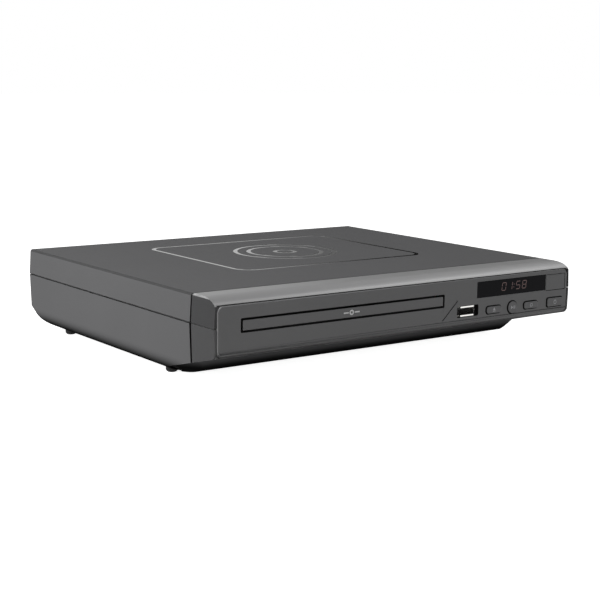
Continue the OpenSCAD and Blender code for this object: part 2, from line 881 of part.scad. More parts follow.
module front_ribbon() {
    ribbon_t = 0.4;
    ribbon_w = 8;
    x0 = board_right - 44;
    z_top = base_z + 21;
    z_run = main_z + board_t + 2.3;
    y_wire = front_board_y + board_t + 2;
    y_bend = y_wire + 30;
    color("#d9d9d4") placed() {
        along_x(x0, x0 + ribbon_w) polygon([
            [y_wire - 1, z_top], [y_wire + 8, z_top], [y_bend, z_run], [main_front + 3, z_run],
            [main_front + 3, z_run + ribbon_t], [y_bend, z_run + ribbon_t],
            [y_wire + 8, z_top + ribbon_t], [y_wire - 1, z_top + ribbon_t]
        ]);
        block(x0 - 1, x0 + ribbon_w + 1, front_board_y + board_t, y_wire, z_top - 1.2, z_top + 1.8);
        block(x0 - 1, x0 + ribbon_w + 1, main_front + 2, main_front + 6, main_z + board_t, z_run + 1.4);
    }
}

// ---------------------------------------------------------------- tray

module tray_flap() {
    color("#4d4d50") placed() {
        facing(cx, mouth_mid, -front_d, tray_front, flap_w, flap_h, 0.4);
    }
}

module tray() {
    rack_w = 4;
    runner_w = 3;
    pitch = PI * rack_m;
    tooth_top = rack_m * 0.9;
    tooth_root = rack_m * 1.2;
    flank = tan(20);
    count = floor((tray_travel + 14) / pitch);
    half = pitch / 4 - 0.05;
    color("#3a3a3d") placed() {
        difference() {
            union() {
                block(cx - tray_w / 2, cx + tray_w / 2, tray_front, tray_back, floor_low, tray_top);
                for (x = [cx - tray_w / 2, cx + tray_w / 2 - runner_w])
                    block(x, x + runner_w, tray_front, tray_back, tray_low, floor_top);
                block(cx - tray_w / 2 + 8, cx + tray_w / 2 - 8, tray_front, tray_front + 2,
                    tray_low, floor_top);
            }
            pin_z(cx, disc_y, floor_top, tray_top + 1, disc_d);
            block(cx - slot_w / 2, cx + slot_w / 2, disc_y, tray_back + 1, 0, tray_top + 1);
            pin_z(cx, disc_y, 0, tray_top + 1, slot_w);
            pin_z(cx, tray_front + 2, floor_top, tray_top + 1, 22);
        }
        translate([rack_x, 0, tray_low]) linear_extrude(rail_h + 0.2) {
            translate([-tooth_root - rack_w, rack_low_y]) square([rack_w, count * pitch]);
            for (i = [0:count - 2]) translate([0, gear_y + (i - 2.5) * pitch]) polygon([
                [-tooth_root - eps, -half - tooth_root * flank], [tooth_top, -half + tooth_top * flank],
                [tooth_top, half - tooth_top * flank], [-tooth_root - eps, half + tooth_root * flank]
            ]);
        }
    }
}

// ---------------------------------------------------------------- loader

module loader_frame() {
    outer = loader_hw + loader_t;
    back_in = loader_back - loader_t;
    ledge_in = tray_w / 2 - 2.5;
    ledge_top = tray_low - guide_gap;
    tab_low = tray_top + guide_gap;
    tab_in = tray_w / 2 - 1.4;
    bracket = 4;
    guide_low = deck_low - 8.5;
    guide_left = cx - lift_w / 2 - 6;
    guide_right = cx + lift_w / 2 + 10;
    color("#232326") placed() {
        difference() {
            union() {
                block(cx - outer, cx + outer, loader_front, loader_back, deck_low, deck_top);
                block(cx - outer, cx + outer, back_in, loader_back, deck_low, wall_top);
                for (s = [0, 1]) translate([cx, 0, 0]) mirror([s, 0, 0]) {
                    block(loader_hw, outer, loader_front, loader_back, deck_low, wall_top);
                    block(ledge_in, loader_hw, loader_front, loader_back, ledge_top - lip_t, ledge_top);
                    for (y = [8, 62]) block(tab_in, loader_hw, y, y + 14, tab_low, tab_low + lip_t);
                }
                for (x = [lift_left - bracket - 1, lift_right + 1])
                    block(x, x + bracket, lift_pivot_y - 5, lift_pivot_y + 5, deck_low, pivot_z + 4);
                block(guide_left, guide_right, lift_front - 5, lift_front - 3, guide_low, deck_top);
                block(guide_left, guide_right, lift_front - 5, lift_front + 1, guide_low, guide_low + 2);
            }
            block(lift_left - lift_window_gap, lift_right + lift_window_gap,
                lift_front - 3, lift_pivot_y - 5.01, deck_low - 1, deck_top + 1);
            block(lift_left - 1, lift_right + 1, lift_pivot_y - 6, lift_back + 1,
                deck_low - 1, deck_top + 1);
            pin_x(lift_pivot_y, pivot_z, lift_left - bracket - 2, lift_right + bracket + 2,
                pivot_d + 2 * bore_gap);
            pin_z(motor_x, motor_y, deck_low - 1, deck_top + 1, 8);
            for (p = loader_feet()) pin_z(p[0], p[1], deck_low - 1, deck_top + 1, shank_d + 0.2);
        }
        pin_z(gear_x, gear_y, deck_low + 0.5, post_top, post_d);
        pin_z(gear_x, gear_y, deck_low + 0.5, stage_z - 0.2, post_d + 3);
        pin_z(pulley_x, pulley_y, deck_low + 0.5, stage_z + pinion_h + 1, post_d);
    }
}

module loader_screws() {
    color("#9a9a9e") placed() {
        for (p = loader_feet()) difference() {
            union() {
                pin_z(p[0], p[1], deck_top - 7, deck_top, shank_d);
                pin_z(p[0], p[1], deck_top, deck_top + 1.8, 5.6);
            }
            translate([p[0], p[1], deck_top + 1.8]) {
                cube([0.8, 3.2, 1.6], center = true);
                cube([3.2, 0.8, 1.6], center = true);
            }
        }
        for (p = concat(main_feet(), power_feet())) {
            z = (p[1] > main_front ? main_z : power_z) + board_t;
            pin_z(p[0], p[1], z - 5, z, shank_d);
            pin_z(p[0], p[1], z, z + 1.8, 5.6);
        }
    }
}

module loader_motor() {
    motor_d = 20;
    motor_h = 8.4;
    flat_x = 7.8;
    color("#b4b4b8") placed() {
        difference() {
            pin_z(motor_x, motor_y, deck_low - motor_h, deck_low, motor_d);
            for (x = [-flat_x - 5, flat_x])
                block(motor_x + x, motor_x + x + 5, motor_y - 11, motor_y + 11, 0, deck_low + 1);
            pin_z(motor_x, motor_y, deck_low - 6, deck_low + 1, 2.1);
        }
    }
}

module motor_pulley() {
    low = pulley_z;
    r = motor_pulley_d / 2;
    color("#c7b76a") placed() translate([motor_x, motor_y, 0]) rotate_extrude() polygon([
        [0, deck_low - 5], [1, deck_low - 5], [1, low], [r, low], [r, low + 0.6],
        [r - motor_groove, low + 0.9],
        [r - motor_groove, low + 2.1], [r, low + 2.4], [r, low + pulley_h], [0, low + pulley_h]
    ]);
}

module pulley_gear() {
    low = pulley_z;
    high = pulley_z + pulley_h;
    r = pulley_d / 2;
    bore = post_d / 2 + bore_gap;
    color("#e8e4d8") placed() translate([pulley_x, pulley_y, 0]) {
        rotate_extrude() polygon([
            [bore, low], [r, low], [r, low + 0.6], [r - pulley_groove, low + 0.9],
            [r - pulley_groove, low + 2.1],
            [r, low + 2.4], [r, high], [bore, high]
        ]);
        translate([0, 0, high - eps]) linear_extrude(stage_z + pinion_h - high) difference() {
            gear_2d(pinion_teeth, stage_m, pinion_angle + 180 + 180 / pinion_teeth, 0.16);
            circle(bore);
        }
    }
}

module drive_gear() {
    bore = post_d / 2 + bore_gap;
    rack_gear_z = tray_low - 0.6;
    hub_z = stage_z + stage_h - eps;
    high = floor_low - 0.3;
    color("#efece0") placed() translate([gear_x, gear_y, 0]) {
        translate([0, 0, stage_z]) linear_extrude(stage_h) difference() {
            gear_2d(drive_teeth, stage_m, pinion_angle, 0.16);
            circle(bore);
        }
        translate([0, 0, hub_z]) linear_extrude(high - hub_z) difference() {
            circle(rack_r - 1.5 * rack_m);
            circle(bore);
        }
        translate([0, 0, rack_gear_z]) linear_extrude(high - rack_gear_z) difference() {
            gear_2d(rack_teeth, rack_m, 180, 0.2);
            circle(bore);
        }
    }
}

// Closed loop round both pulleys
module belt_loop(r1, r2) {
    d = norm([motor_x - pulley_x, motor_y - pulley_y]);
    lean = acos((r1 - r2) / d);
    turn = atan2(motor_y - pulley_y, motor_x - pulley_x);
    translate([pulley_x, pulley_y]) rotate(turn)
        polygon(concat(arc(0, 0, r1, lean, 360 - lean, 32), arc(d, 0, r2, -lean, lean, 16)));
}

module drive_belt() {
    r1 = pulley_d / 2 - pulley_groove + belt_gap;
    r2 = motor_pulley_d / 2 - motor_groove + belt_gap;
    color("#141416") placed() translate([0, 0, pulley_z + 0.95]) linear_extrude(1.1) difference() {
        belt_loop(r1 + belt_t, r2 + belt_t);
        belt_loop(r1, r2);
    }
}

module cam_slider() {
    low = deck_low - 6.5 + guide_gap;
    high = pivot_z + cam_slot / 2 + 2.4;
    left = cx - 30;
    right = cx + 16;
    ramp = atan(cam_drop / cam_travel);
    color("#dcdce0") placed() difference() {
        block(left, right, cam_front, cam_front + cam_t, low, high);
        translate([cx, cam_front + cam_t / 2, pivot_z]) rotate([0, 180 - ramp, 0]) {
            rotate([90, 0, 0]) cylinder(h = cam_t + 1, d = cam_slot, center = true);
            translate([cam_travel / cos(ramp), 0, 0]) rotate([90, 0, 0])
                cylinder(h = cam_t + 1, d = cam_slot, center = true);
            translate([0, -cam_t, -cam_slot / 2]) cube([cam_travel / cos(ramp), 2 * cam_t, cam_slot]);
        }
    }
}

// ---------------------------------------------------------------- disc drive

function bush_places() = corners([lift_left + 4, lift_right - 4], [lift_front + 7, rod_back - 6]);

module lift_frame() {
    rail = 10;
    pin_len = 4.6;
    color("#2c2c30") placed() {
        difference() {
            block(lift_left, lift_right, lift_front, lift_back, lift_top - lift_h, lift_top);
            block(lift_left + rail, lift_right - rail, lift_front + rail, lift_back - 8, 0, lift_top + 1);
            for (p = bush_places()) pin_z(p[0], p[1], lift_top - 5, lift_top + 1, shank_d - 0.5);
            pin_y(screw_x, screw_z, motor_front - 1, motor_front + sled_motor_len + 1, sled_motor_d + 2);
        }
        pin_x(lift_pivot_y, pivot_z, lift_left - pin_len, lift_left + 1, pivot_d);
        pin_x(lift_pivot_y, pivot_z, lift_right - 1, lift_right + pin_len, pivot_d);
        pin_y(cx, pivot_z, cam_front + 0.1, lift_front + 1, pin_d);
    }
}

module damper_bushes() {
    color("#161618") placed() for (p = bush_places()) difference() {
        pin_z(p[0], p[1], lift_top, plate_z, 8);
        pin_z(p[0], p[1], lift_top - 1, plate_z + 1, shank_d);
    }
}

module traverse_plate() {
    color("#a6a8ac") placed() {
        difference() {
            union() {
                block(lift_left + 1, lift_right - 1, 31, rod_back - 1, plate_z, plate_z + traverse_t);
                block(screw_x - 5.5, screw_x + 5.5, rod_back - 1 - eps, motor_front,
                    plate_z - 7, plate_z + traverse_t);
                for (s = [-1, 1]) block(cx + s * rod_x - 3, cx + s * rod_x + 3, rod_front - 3, rod_front,
                    plate_z, rod_z + rod_d / 2 + 0.6);
                for (s = [-1, 1]) block(cx + s * rod_x - 3, cx + s * rod_x + 3, rod_back - 3.2, rod_back - 1,
                    plate_z, rod_z + rod_d / 2 + 0.6);
                block(screw_x - 3, screw_x + 3, rod_front - 3, rod_front - 1, plate_z - 5, plate_z);
            }
            block(cx - 19, screw_x + 4.5, rod_front + 0.5, rod_back - 2.8,
                plate_z - 1, plate_z + traverse_t + 1);
            for (s = [-1, 1]) pin_y(cx + s * rod_x, rod_z, rod_front - 4, rod_back + 4, rod_d + 0.04);
            pin_y(screw_x, screw_z, rod_front - 4, rod_back + 4, screw_d + 2 * bore_gap);
            for (p = bush_places()) pin_z(p[0], p[1], plate_z - 1, plate_z + traverse_t + 1, shank_d);
        }
        for (p = bush_places()) {
            pin_z(p[0], p[1], lift_top + 0.2, plate_z + traverse_t, shank_d - 0.4);
            pin_z(p[0], p[1], plate_z + traverse_t - eps, plate_z + traverse_t + 1, 6);
        }
    }
}

module guide_rods() {
    color("#d8d8dc") placed() for (s = [-1, 1]) {
        pin_y(cx + s * rod_x, rod_z, rod_front - 2.8, rod_back - 1.2, rod_d);
    }
}

module spindle_motor() {
    color("#9fa1a6") placed() difference() {
        union() {
            pin_z(cx, disc_y, plate_z + traverse_t, motor_top - 1.2, 24);
            pin_z(cx, disc_y, motor_top - 1.3, motor_top, 12);
        }
        pin_z(cx, disc_y, plate_z + traverse_t + 0.6, motor_top + 1, 2 + 2 * bore_gap);
    }
}

module turntable() {
    hub_d = 14.8;
    low = platter_top - platter_h;
    color("#1f1f22") placed() translate([cx, disc_y, 0]) rotate_extrude() polygon([
        [0, plate_z + traverse_t + 1], [1, plate_z + traverse_t + 1], [1, low], [platter_d / 2, low],
        [platter_d / 2, platter_top], [hub_d / 2, platter_top], [hub_d / 2, platter_top + 1.2],
        [hub_d / 2 - 1.6, platter_top + 2.4], [0, platter_top + 2.4]
    ]);
}

module pickup_sled() {
    y0 = sled_y - sled_len / 2;
    y1 = sled_y + sled_len / 2;
    bore = rod_d + 2 * bore_gap;
    top = floor_top - 1.6;
    color("#46484e") placed() difference() {
        union() {
            block(cx - 17, cx + 17, y0, y1, plate_z - 4, top);
            block(cx - rod_x - 2.6, cx + rod_x + 2.6, y0 + 2, y1 - 2,
                plate_z + traverse_t + 0.5, rod_z + rod_d / 2 + 0.4);
            block(cx + 16, screw_x + 3.2, y0 + 8, y1 - 8, plate_z - 5, plate_z - 0.6);
        }
        for (s = [-1, 1]) pin_y(cx + s * rod_x, rod_z, y0, y1, bore);
        pin_y(screw_x, screw_z, y0, y1, screw_d + 2 * bore_gap);
        pin_z(cx, sled_y - 4, top - 3, top + 1, 9);
    }
}

module objective_lens() {
    top = floor_top - 0.6;
    color("#3c5a72") placed() translate([cx, sled_y - 4, 0]) rotate_extrude() polygon(concat(
        [[0, top - 2.6], [3.9, top - 2.6], [3.9, top - 0.6], [2.6, top - 0.6]],
        [for (a = [0:15:75]) [2.6 * cos(a), top - 0.6 + 0.6 * sin(a)]],
        [[0, top]]
    ));
}

module sled_motor() {
    color("#aeb0b4") placed() difference() {
        pin_y(screw_x, screw_z, motor_front, motor_front + sled_motor_len, sled_motor_d);
        pin_y(screw_x, screw_z, motor_front - 1, motor_front + 6, 1.6 + 2 * bore_gap);
    }
}

module lead_screw() {
    pitch = 3;
    turns = floor((rod_back - rod_front - 9) / pitch);
    y0 = rod_front - 2.8;
    neck = rod_back - 1.3 - y0;
    r = screw_d / 2;
    groove = [for (i = [0:turns]) let (y = 6 + i * pitch)
        each [[r, y], [r - 0.4, y + 0.6], [r - 0.4, y + 1.2], [r, y + 1.8]]];
    tail = [[r, neck], [0.8, neck], [0.8, neck + 7.4], [0, neck + 7.4]];
    color("#c8c8cc") placed() translate([screw_x, y0, screw_z]) rotate([-90, 0, 0])
        rotate_extrude() polygon(concat([[0, 0], [r, 0]], groove, tail));
}

module clamp_bridge() {
    outer = loader_hw + loader_t;
    color("#8f9196") placed() difference() {
        union() {
            block(cx - outer, cx + outer, disc_y - 20, disc_y + 20, bridge_z, bridge_z + bridge_t);
            for (x = [cx - 46, cx + 46])
                block(x - 3, x + 3, disc_y - 20, disc_y + 20, bridge_z, bridge_z + bridge_t + 0.8);
        }
        pin_z(cx, disc_y, bridge_z - 1, bridge_z + bridge_t + 2, bridge_hole);
    }
}

module clamp_puck() {
    neck = bridge_hole - 1;
    color("#d6d6d2") placed() translate([cx, disc_y, 0]) rotate_extrude() polygon([
        [9, puck_low], [puck_d / 2, puck_low], [puck_d / 2, bridge_z - 0.5], [neck / 2, bridge_z - 0.5],
        [neck / 2, bridge_z + bridge_t + 0.3], [puck_d / 2, bridge_z + bridge_t + 0.3],
        [puck_d / 2, bridge_z + bridge_t + 1.3], [0, bridge_z + bridge_t + 1.3],
        [0, platter_top + 2.9], [9, platter_top + 2.9]
    ]);
}

// ---------------------------------------------------------------- boards and sockets

module main_board() {
    color("#2c6a40") placed() difference() {
        union() {
            block(main_left, board_right, main_front, panel_front - 1, main_z, main_z + board_t);
            block(jack_x - 9, board_right, loader_back + 2, panel_front - 1, main_z, main_z + board_t);
        }
        for (p = main_feet()) pin_z(p[0], p[1], main_z - 1, main_z + board_t + 1, shank_d + 0.2);
    }
}

// Place of the main chip, in from the right edge of the board and behind its front edge
chip_in = [48.5, 26];
chip_size = 20;

// Chips: place in from the right edge and behind the front edge, width, depth, height
chips = [
    [chip_in[0], chip_in[1], chip_size, chip_size, 1.6],
    [44, 13, 14, 9, 1.2],
    [22.5, 20, 8, 8, 1.4],
    [26, 8, 10, 7, 1.2]
];

module board_chips() {
    color("#1a1a1c") placed() translate([board_right, main_front, main_z + board_t])
        for (c = chips) translate([-c[0], c[1], 0]) cube([c[2], c[3], c[4]]);
}

module heat_sink() {
    fins = 6;
    size = chip_size - 2;
    pitch = (size - 1.2) / (fins - 1);
    color("#b9bbc0") placed()
        translate([board_right - chip_in[0] + 1, main_front + chip_in[1] + 1, main_z + board_t + 1.6]) {
            cube([size, size, 1.2]);
            for (i = [0:fins - 1]) translate([i * pitch, 0, 1]) cube([1.2, size, 3]);
        }
}

module board_capacitors() {
    high = 11;
    can_d = 6.3;
    color("#2a3358") placed() for (p = [[10.5, 12], [4.5, 24], [12.5, 38], [4.5, 46]])
        pin_z(board_right - p[0], main_front + p[1], main_z + board_t, main_z + board_t + high, can_d);
}

module jack_block() {
    x0 = jack_x - 7;
    x1 = jack_x + 2 * jack_pitch + 7;
    color("#1c1c1e") placed() difference() {
        block(x0, x1, panel_front - 15, panel_front - 0.2, main_z + board_t, jack_z + 12);
        for (i = [0:2]) pin_y(jack_x + i * jack_pitch, jack_z, panel_front - 8, panel_front, jack_d - 1.4);
        pin_y(jack_x + jack_pitch / 2, jack_top, panel_front - 6, panel_front, shank_d + 0.1);
    }
}

// One phono socket: coloured collar, metal barrel and insulator in one turned piece
module phono(index, tint) {
    y0 = panel_front - 7.8;
    y1 = case_d + jack_reach;
    hole_r = 1.65;
    barrel_r = 3.3;
    collar = y1 - panel_front + 0.1;
    long = y1 - y0;
    color(tint) placed() translate([jack_x + index * jack_pitch, y1, jack_z]) rotate([90, 0, 0])
        rotate_extrude() polygon([
            [hole_r, 0], [jack_d / 2, 0], [jack_d / 2, collar], [barrel_r, collar], [barrel_r, long],
            [0, long], [0, long - 1.5], [hole_r, long - 1.5]
        ]);
}

module video_jack() {
    phono(2, "#d9b928");
}

module left_jack() {
    phono(1, "#e4e2dc");
}

module right_jack() {
    phono(0, "#b3322c");
}

module hdmi_socket() {
    t = 0.4;
    color("#c4c4c8") placed() difference() {
        facing(hdmi_x, hdmi_z, panel_front - 11, case_d - 0.6, hdmi_w, hdmi_h, 0.6);
        facing(hdmi_x, hdmi_z, panel_front - 10.4, case_d + 1, hdmi_w - 2 * t, hdmi_h - 2 * t, 0.4);
    }
}

module hdmi_tongue() {
    color("#1b1b1d") placed() {
        block(hdmi_x - 5.6, hdmi_x + 5.6, panel_front - 8, case_d - 5.2, hdmi_z - 0.9, hdmi_z + 0.7);
        block(hdmi_x - 6.6, hdmi_x + 6.6, panel_front - 10, panel_front - 8 + eps,
            hdmi_z - 2.1, hdmi_z + 2.1);
    }
}

module power_leads() {
    lead_d = 1.4;
    x0 = power_left + 1;
    y0 = power_back - 12;
    z0 = power_z + board_t;
    z1 = main_z + board_t;
    y1 = main_front + 12;
    color("#a33a34") placed() {
        block(x0, x0 + 12, y0 - 2, y0 + 2, z0, z0 + 5);
        block(x0, x0 + 12, y1 - 2, y1 + 2, z1, z1 + 5);
        for (i = [0:3]) {
            x = x0 + 1.5 + i * 3;
            pin_z(x, y0, z0 + 4, z1 + 8, lead_d);
            pin_z(x, y1, z1 + 4, z1 + 8, lead_d);
            pin_y(x, z1 + 8, y0, y1, lead_d);
            translate([x, y0, z1 + 8]) sphere(d = lead_d);
            translate([x, y1, z1 + 8]) sphere(d = lead_d);
        }
    }
}

module power_board() {
    color("#a8823f") placed() difference() {
        block(power_left, board_right, power_front, power_back, power_z, power_z + board_t);
        for (p = power_feet()) pin_z(p[0], p[1], power_z - 1, power_z + board_t + 1, shank_d + 0.2);
    }
}

module transformer() {
    color("#c89b3a") placed() translate([power_left + 34, power_front + 36, power_z + board_t]) {
        translate([-11, -10, 0]) cube([22, 20, 4]);
        translate([-7, -12, 4 - eps]) cube([14, 24, 12]);
        translate([-12, -7, 16 - eps]) cube([24, 14, 4]);
    }
}

module power_capacitors() {
    z = power_z + board_t;
    color("#1f2330") placed() {
        pin_z(board_right - 8.5, power_front + 18, z, z + 22, 14);
        for (y = [29.5, 38.5]) pin_z(board_right - 5.5, power_front + y, z, z + 14, 8);
    }
}

module fuse() {
    size = [20, 5];
    color("#d9dde0") placed() translate([power_left + 14, power_front + 12, power_z + board_t]) {
        translate([0, 0, 4]) rotate([0, 90, 0]) cylinder(h = size[0], d = size[1]);
        for (x = [0, size[0] - 3]) translate([x, -3, 0]) cube([3, 6, 5]);
    }
}

inlet_w = 20;
inlet_h = 14;
inlet_depth = 13;

module ac_inlet() {
    y1 = case_d - 0.4;
    y0 = y1 - inlet_depth - 4;
    color("#19191b") placed() difference() {
        union() {
            facing(inlet_x, inlet_z, y0, y1, inlet_w, inlet_h, 3.6);
            block(inlet_x - ear_x - 4, inlet_x + ear_x + 4, panel_front - 5.4, panel_front - 0.1,
                inlet_z - 5, inlet_z + 5);
        }
        for (s = [-1, 1]) pin_y(inlet_x + s * 4, inlet_z, y1 - inlet_depth, y1 + 1, 8.4);
        block(inlet_x - 4, inlet_x + 4, y1 - inlet_depth, y1 + 1, inlet_z - 3.2, inlet_z + 3.2);
        for (s = [-1, 1])
            pin_y(inlet_x + s * ear_x, inlet_z, panel_front - 5.2, panel_front + 1, shank_d + 0.1);
    }
}

module inlet_pins() {
    y1 = case_d - 0.4;
    color("#c9a94e") placed() for (s = [-1, 1]) {
        pin_y(inlet_x + s * 4, inlet_z, y1 - inlet_depth, y1 - 4.6, 2.4);
    }
}

// ---------------------------------------------------------------- drawing

top_cover();
lower_chassis();
rear_panel();
front_top_trim();
front_lower_frame();
face_plate();
display_window();
sensor_plate();
tray();
tray_flap();
open_button();
play_button();
stop_button();
power_button();
usb_socket();
usb_tongue();
front_board();
tact_switches();
display_module();
ir_receiver();
front_ribbon();
loader_frame();
loader_motor();
motor_pulley();
drive_belt();
pulley_gear();
drive_gear();
cam_slider();
lift_frame();
damper_bushes();
traverse_plate();
spindle_motor();
turntable();
pickup_sled();
objective_lens();
guide_rods();
sled_motor();
lead_screw();
clamp_bridge();
clamp_puck();
loader_screws();
main_board();
board_chips();
heat_sink();
board_capacitors();
jack_block();
video_jack();
left_jack();
right_jack();
hdmi_socket();
hdmi_tongue();
power_leads();
power_board();
transformer();
power_capacitors();
fuse();
ac_inlet();
inlet_pins();
feet();
case_screws();
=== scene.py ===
import json
import math

import bmesh
import bpy
from mathutils import Matrix, Vector

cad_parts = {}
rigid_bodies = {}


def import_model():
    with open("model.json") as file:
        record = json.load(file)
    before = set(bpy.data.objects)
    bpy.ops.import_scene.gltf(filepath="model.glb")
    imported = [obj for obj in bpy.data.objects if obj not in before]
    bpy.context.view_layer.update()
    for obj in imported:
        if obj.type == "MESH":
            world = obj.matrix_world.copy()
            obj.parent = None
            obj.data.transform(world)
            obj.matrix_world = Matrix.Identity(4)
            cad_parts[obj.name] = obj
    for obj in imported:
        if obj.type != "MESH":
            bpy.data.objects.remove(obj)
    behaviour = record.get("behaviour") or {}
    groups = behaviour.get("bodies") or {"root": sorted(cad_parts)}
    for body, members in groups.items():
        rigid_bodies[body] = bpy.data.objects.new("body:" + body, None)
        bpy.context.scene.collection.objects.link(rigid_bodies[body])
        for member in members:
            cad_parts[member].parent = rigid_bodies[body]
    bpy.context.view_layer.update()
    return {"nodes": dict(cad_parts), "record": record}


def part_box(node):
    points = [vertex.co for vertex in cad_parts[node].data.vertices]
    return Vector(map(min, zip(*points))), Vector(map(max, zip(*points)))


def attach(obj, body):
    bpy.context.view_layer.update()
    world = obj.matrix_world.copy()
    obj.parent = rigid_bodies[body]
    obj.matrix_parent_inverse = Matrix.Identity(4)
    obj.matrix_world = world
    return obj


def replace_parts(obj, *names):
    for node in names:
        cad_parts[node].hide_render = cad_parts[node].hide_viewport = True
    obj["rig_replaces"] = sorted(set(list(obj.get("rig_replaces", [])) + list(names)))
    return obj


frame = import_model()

MM = 0.001
PER_METRE = 1000.0      # millimetres in a metre
NODES = frame["nodes"]
RECORD = frame["record"]
SLOT_OF = {part["node"]: part["material_slot"] for part in RECORD["subparts"]}
BODY_OF = {node: body for body, nodes in RECORD["behaviour"]["bodies"].items() for node in nodes}


# ------------------------------------------------------------------ shader nodes

class Grain:
    """A value that varies over a surface. Sums and products add Math nodes."""

    def __init__(self, finish, socket):
        self.finish = finish
        self.socket = socket

    def _math(self, operation, first, second=None):
        values = {0: first} if second is None else {0: first, 1: second}
        return self.finish.add("ShaderNodeMath", {"operation": operation}, values)[0]

    def __add__(self, other):
        return self._math("ADD", self, other)

    def __radd__(self, other):
        return self._math("ADD", other, self)

    def __sub__(self, other):
        return self._math("SUBTRACT", self, other)

    def __rsub__(self, other):
        return self._math("SUBTRACT", other, self)

    def __mul__(self, other):
        return self._math("MULTIPLY", self, other)

    def __rmul__(self, other):
        return self._math("MULTIPLY", other, self)

    def __truediv__(self, other):
        return self._math("DIVIDE", self, other)

    def __lt__(self, other):
        return self._math("LESS_THAN", self, other)

    def __gt__(self, other):
        return self._math("GREATER_THAN", self, other)

    def abs(self):
        return self._math("ABSOLUTE", self)

    def fract(self):
        return self._math("FRACT", self)

    def smooth(self, low, high):
        """0 below low, 1 above high, and a smooth step between them."""
        settings = {"interpolation_type": "SMOOTHSTEP"}
        values = {"Value": self, "From Min": low, "From Max": high}
        return self.finish.add("ShaderNodeMapRange", settings, values)[0]

    def from_lane(self, pitch):
        """How far a coordinate is from the middle of its lane, in lanes of this pitch."""
        return ((self / pitch).fract() - 0.5).abs()


class Finish:
    """A material with one Principled shader, whose nodes are added in code."""

    def __init__(self, name, **shader):
        self.material = bpy.data.materials.new(name)
        self.material.use_nodes = True
        self.tree = self.material.node_tree
        self.shader = next(n for n in self.tree.nodes if n.type == "BSDF_PRINCIPLED")
        for socket, value in shader.items():
            self.set(self.shader.inputs[socket.replace("_", " ")], value)
        self._place = None

    def set(self, socket, value):
        """Links a grain to a socket, or writes a number, point or colour on it."""
        if isinstance(value, Grain):
            self.tree.links.new(value.socket, socket)
        elif hasattr(value, "__len__") and len(value) == 3 and socket.type == "RGBA":
            socket.default_value = (*value, 1.0)
        else:
            socket.default_value = value

    def add(self, kind, settings=None, values=None):
        """Adds a node of any kind, sets its sockets by name or number, and returns its outputs as grains."""
        node = self.tree.nodes.new(kind)
        for name, value in (settings or {}).items():
            setattr(node, name, value)
        for name, value in (values or {}).items():
            if isinstance(name, int):
                socket = node.inputs[name]
            else:
                socket = next(s for s in node.inputs if s.enabled and s.name == name)
            self.set(socket, value)
        return [Grain(self, out) for out in node.outputs if out.enabled]

    @property
    def place(self):
        """The point on the object, in metres."""
        if self._place is None:
            object_output = 3
            self._place = self.add("ShaderNodeTexCoord")[object_output]
        return self._place

    def axes(self):
        """The three coordinates of the point, in millimetres."""
        return [part * PER_METRE for part in self.add("ShaderNodeSeparateXYZ", {}, {0: self.place})]

    def stretched(self, scale):
        """The point scaled along each axis, for a pattern that runs one way."""
        return self.add("ShaderNodeMapping", {}, {"Vector": self.place, "Scale": scale})[0]

    def noise(self, size, detail=3.0, rough=0.55, point=None):
        """Cloudy noise from 0 to 1, with features of about this size in millimetres."""
        values = {"Vector": point or self.place, "Scale": PER_METRE / size}
        values.update({"Detail": detail, "Roughness": rough})
        return self.add("ShaderNodeTexNoise", {}, values)[0]

    def cells(self, size, random):
        """Distance to the nearest of scattered cells of this size in millimetres."""
        values = {"Vector": self.place, "Scale": PER_METRE / size, "Randomness": random}
        return self.add("ShaderNodeTexVoronoi", {"feature": "F1"}, values)[0]

    def mix(self, factor, first, second):
        """Colour first where the factor is 0 and second where it is 1."""
        values = {"Factor": factor, "A": first, "B": second}
        return self.add("ShaderNodeMix", {"data_type": "RGBA"}, values)[0]

    def mottle(self, grain, colour, low, high):
        """A colour that a grain moves between two shares of it."""
        return self.mix(grain, tint(colour, low), tint(colour, high))

    def bump(self, height, depth):
        """Raises the surface by this height map, whose range is depth millimetres."""
        values = {"Height": height, "Distance": depth * MM, "Strength": 1.0}
        self.set(self.shader.inputs["Normal"], self.add("ShaderNodeBump", {}, values)[0])
        return self

    def colour(self, value):
        self.set(self.shader.inputs["Base Color"], value)
        return self

    def rough(self, value):
        self.set(self.shader.inputs["Roughness"], value)
        return self

    def rough_about(self, middle, *grains):
        """Roughness about a middle value, which each (grain, spread) pair moves by half its spread."""
        lowest = middle - sum(spread for _, spread in grains) / 2
        return self.rough(sum((grain * spread for grain, spread in grains), lowest))


def tint(colour, share):
    """A colour made lighter or darker by a share."""
    return tuple(c * share for c in colour)


def even_grey(level, blue=0.0):
    """A grey, with a little more blue where it is asked for."""
    return (level, level, level + blue)


# ------------------------------------------------------------------ finishes

FLOW_CLOUD = 60.0       # size of the faint clouds that flow leaves in moulded plastic
FLOW_SHARES = (0.93, 1.07)


def moulded(name, colour, rough, grain=0.35, depth=0.02, specular=0.35):
    """Moulded plastic with a fine spark-eroded grain and faint flow clouds."""
    f = Finish(name, Specular_IOR_Level=specular, IOR=1.48)
    cloud = f.noise(FLOW_CLOUD, detail=2.0)
    fine = f.noise(grain, detail=2.0)
    f.colour(f.mottle(cloud, colour, *FLOW_SHARES))
    f.rough_about(rough, (fine, 0.12), (cloud, 0.06))
    return f.bump(fine, depth)


def painted_shade_along(finish, colour, low, high, axis=2, least=0.06):
    """Painted shade: lets a plastic's colour darken towards the low end of an axis, between two points in
    millimetres.
    """
    along = finish.axes()[axis].smooth(low, high)
    full = finish.mottle(finish.noise(FLOW_CLOUD, detail=2.0), colour, *FLOW_SHARES)
    return finish.colour(finish.mix(along, tint(colour, least), full))


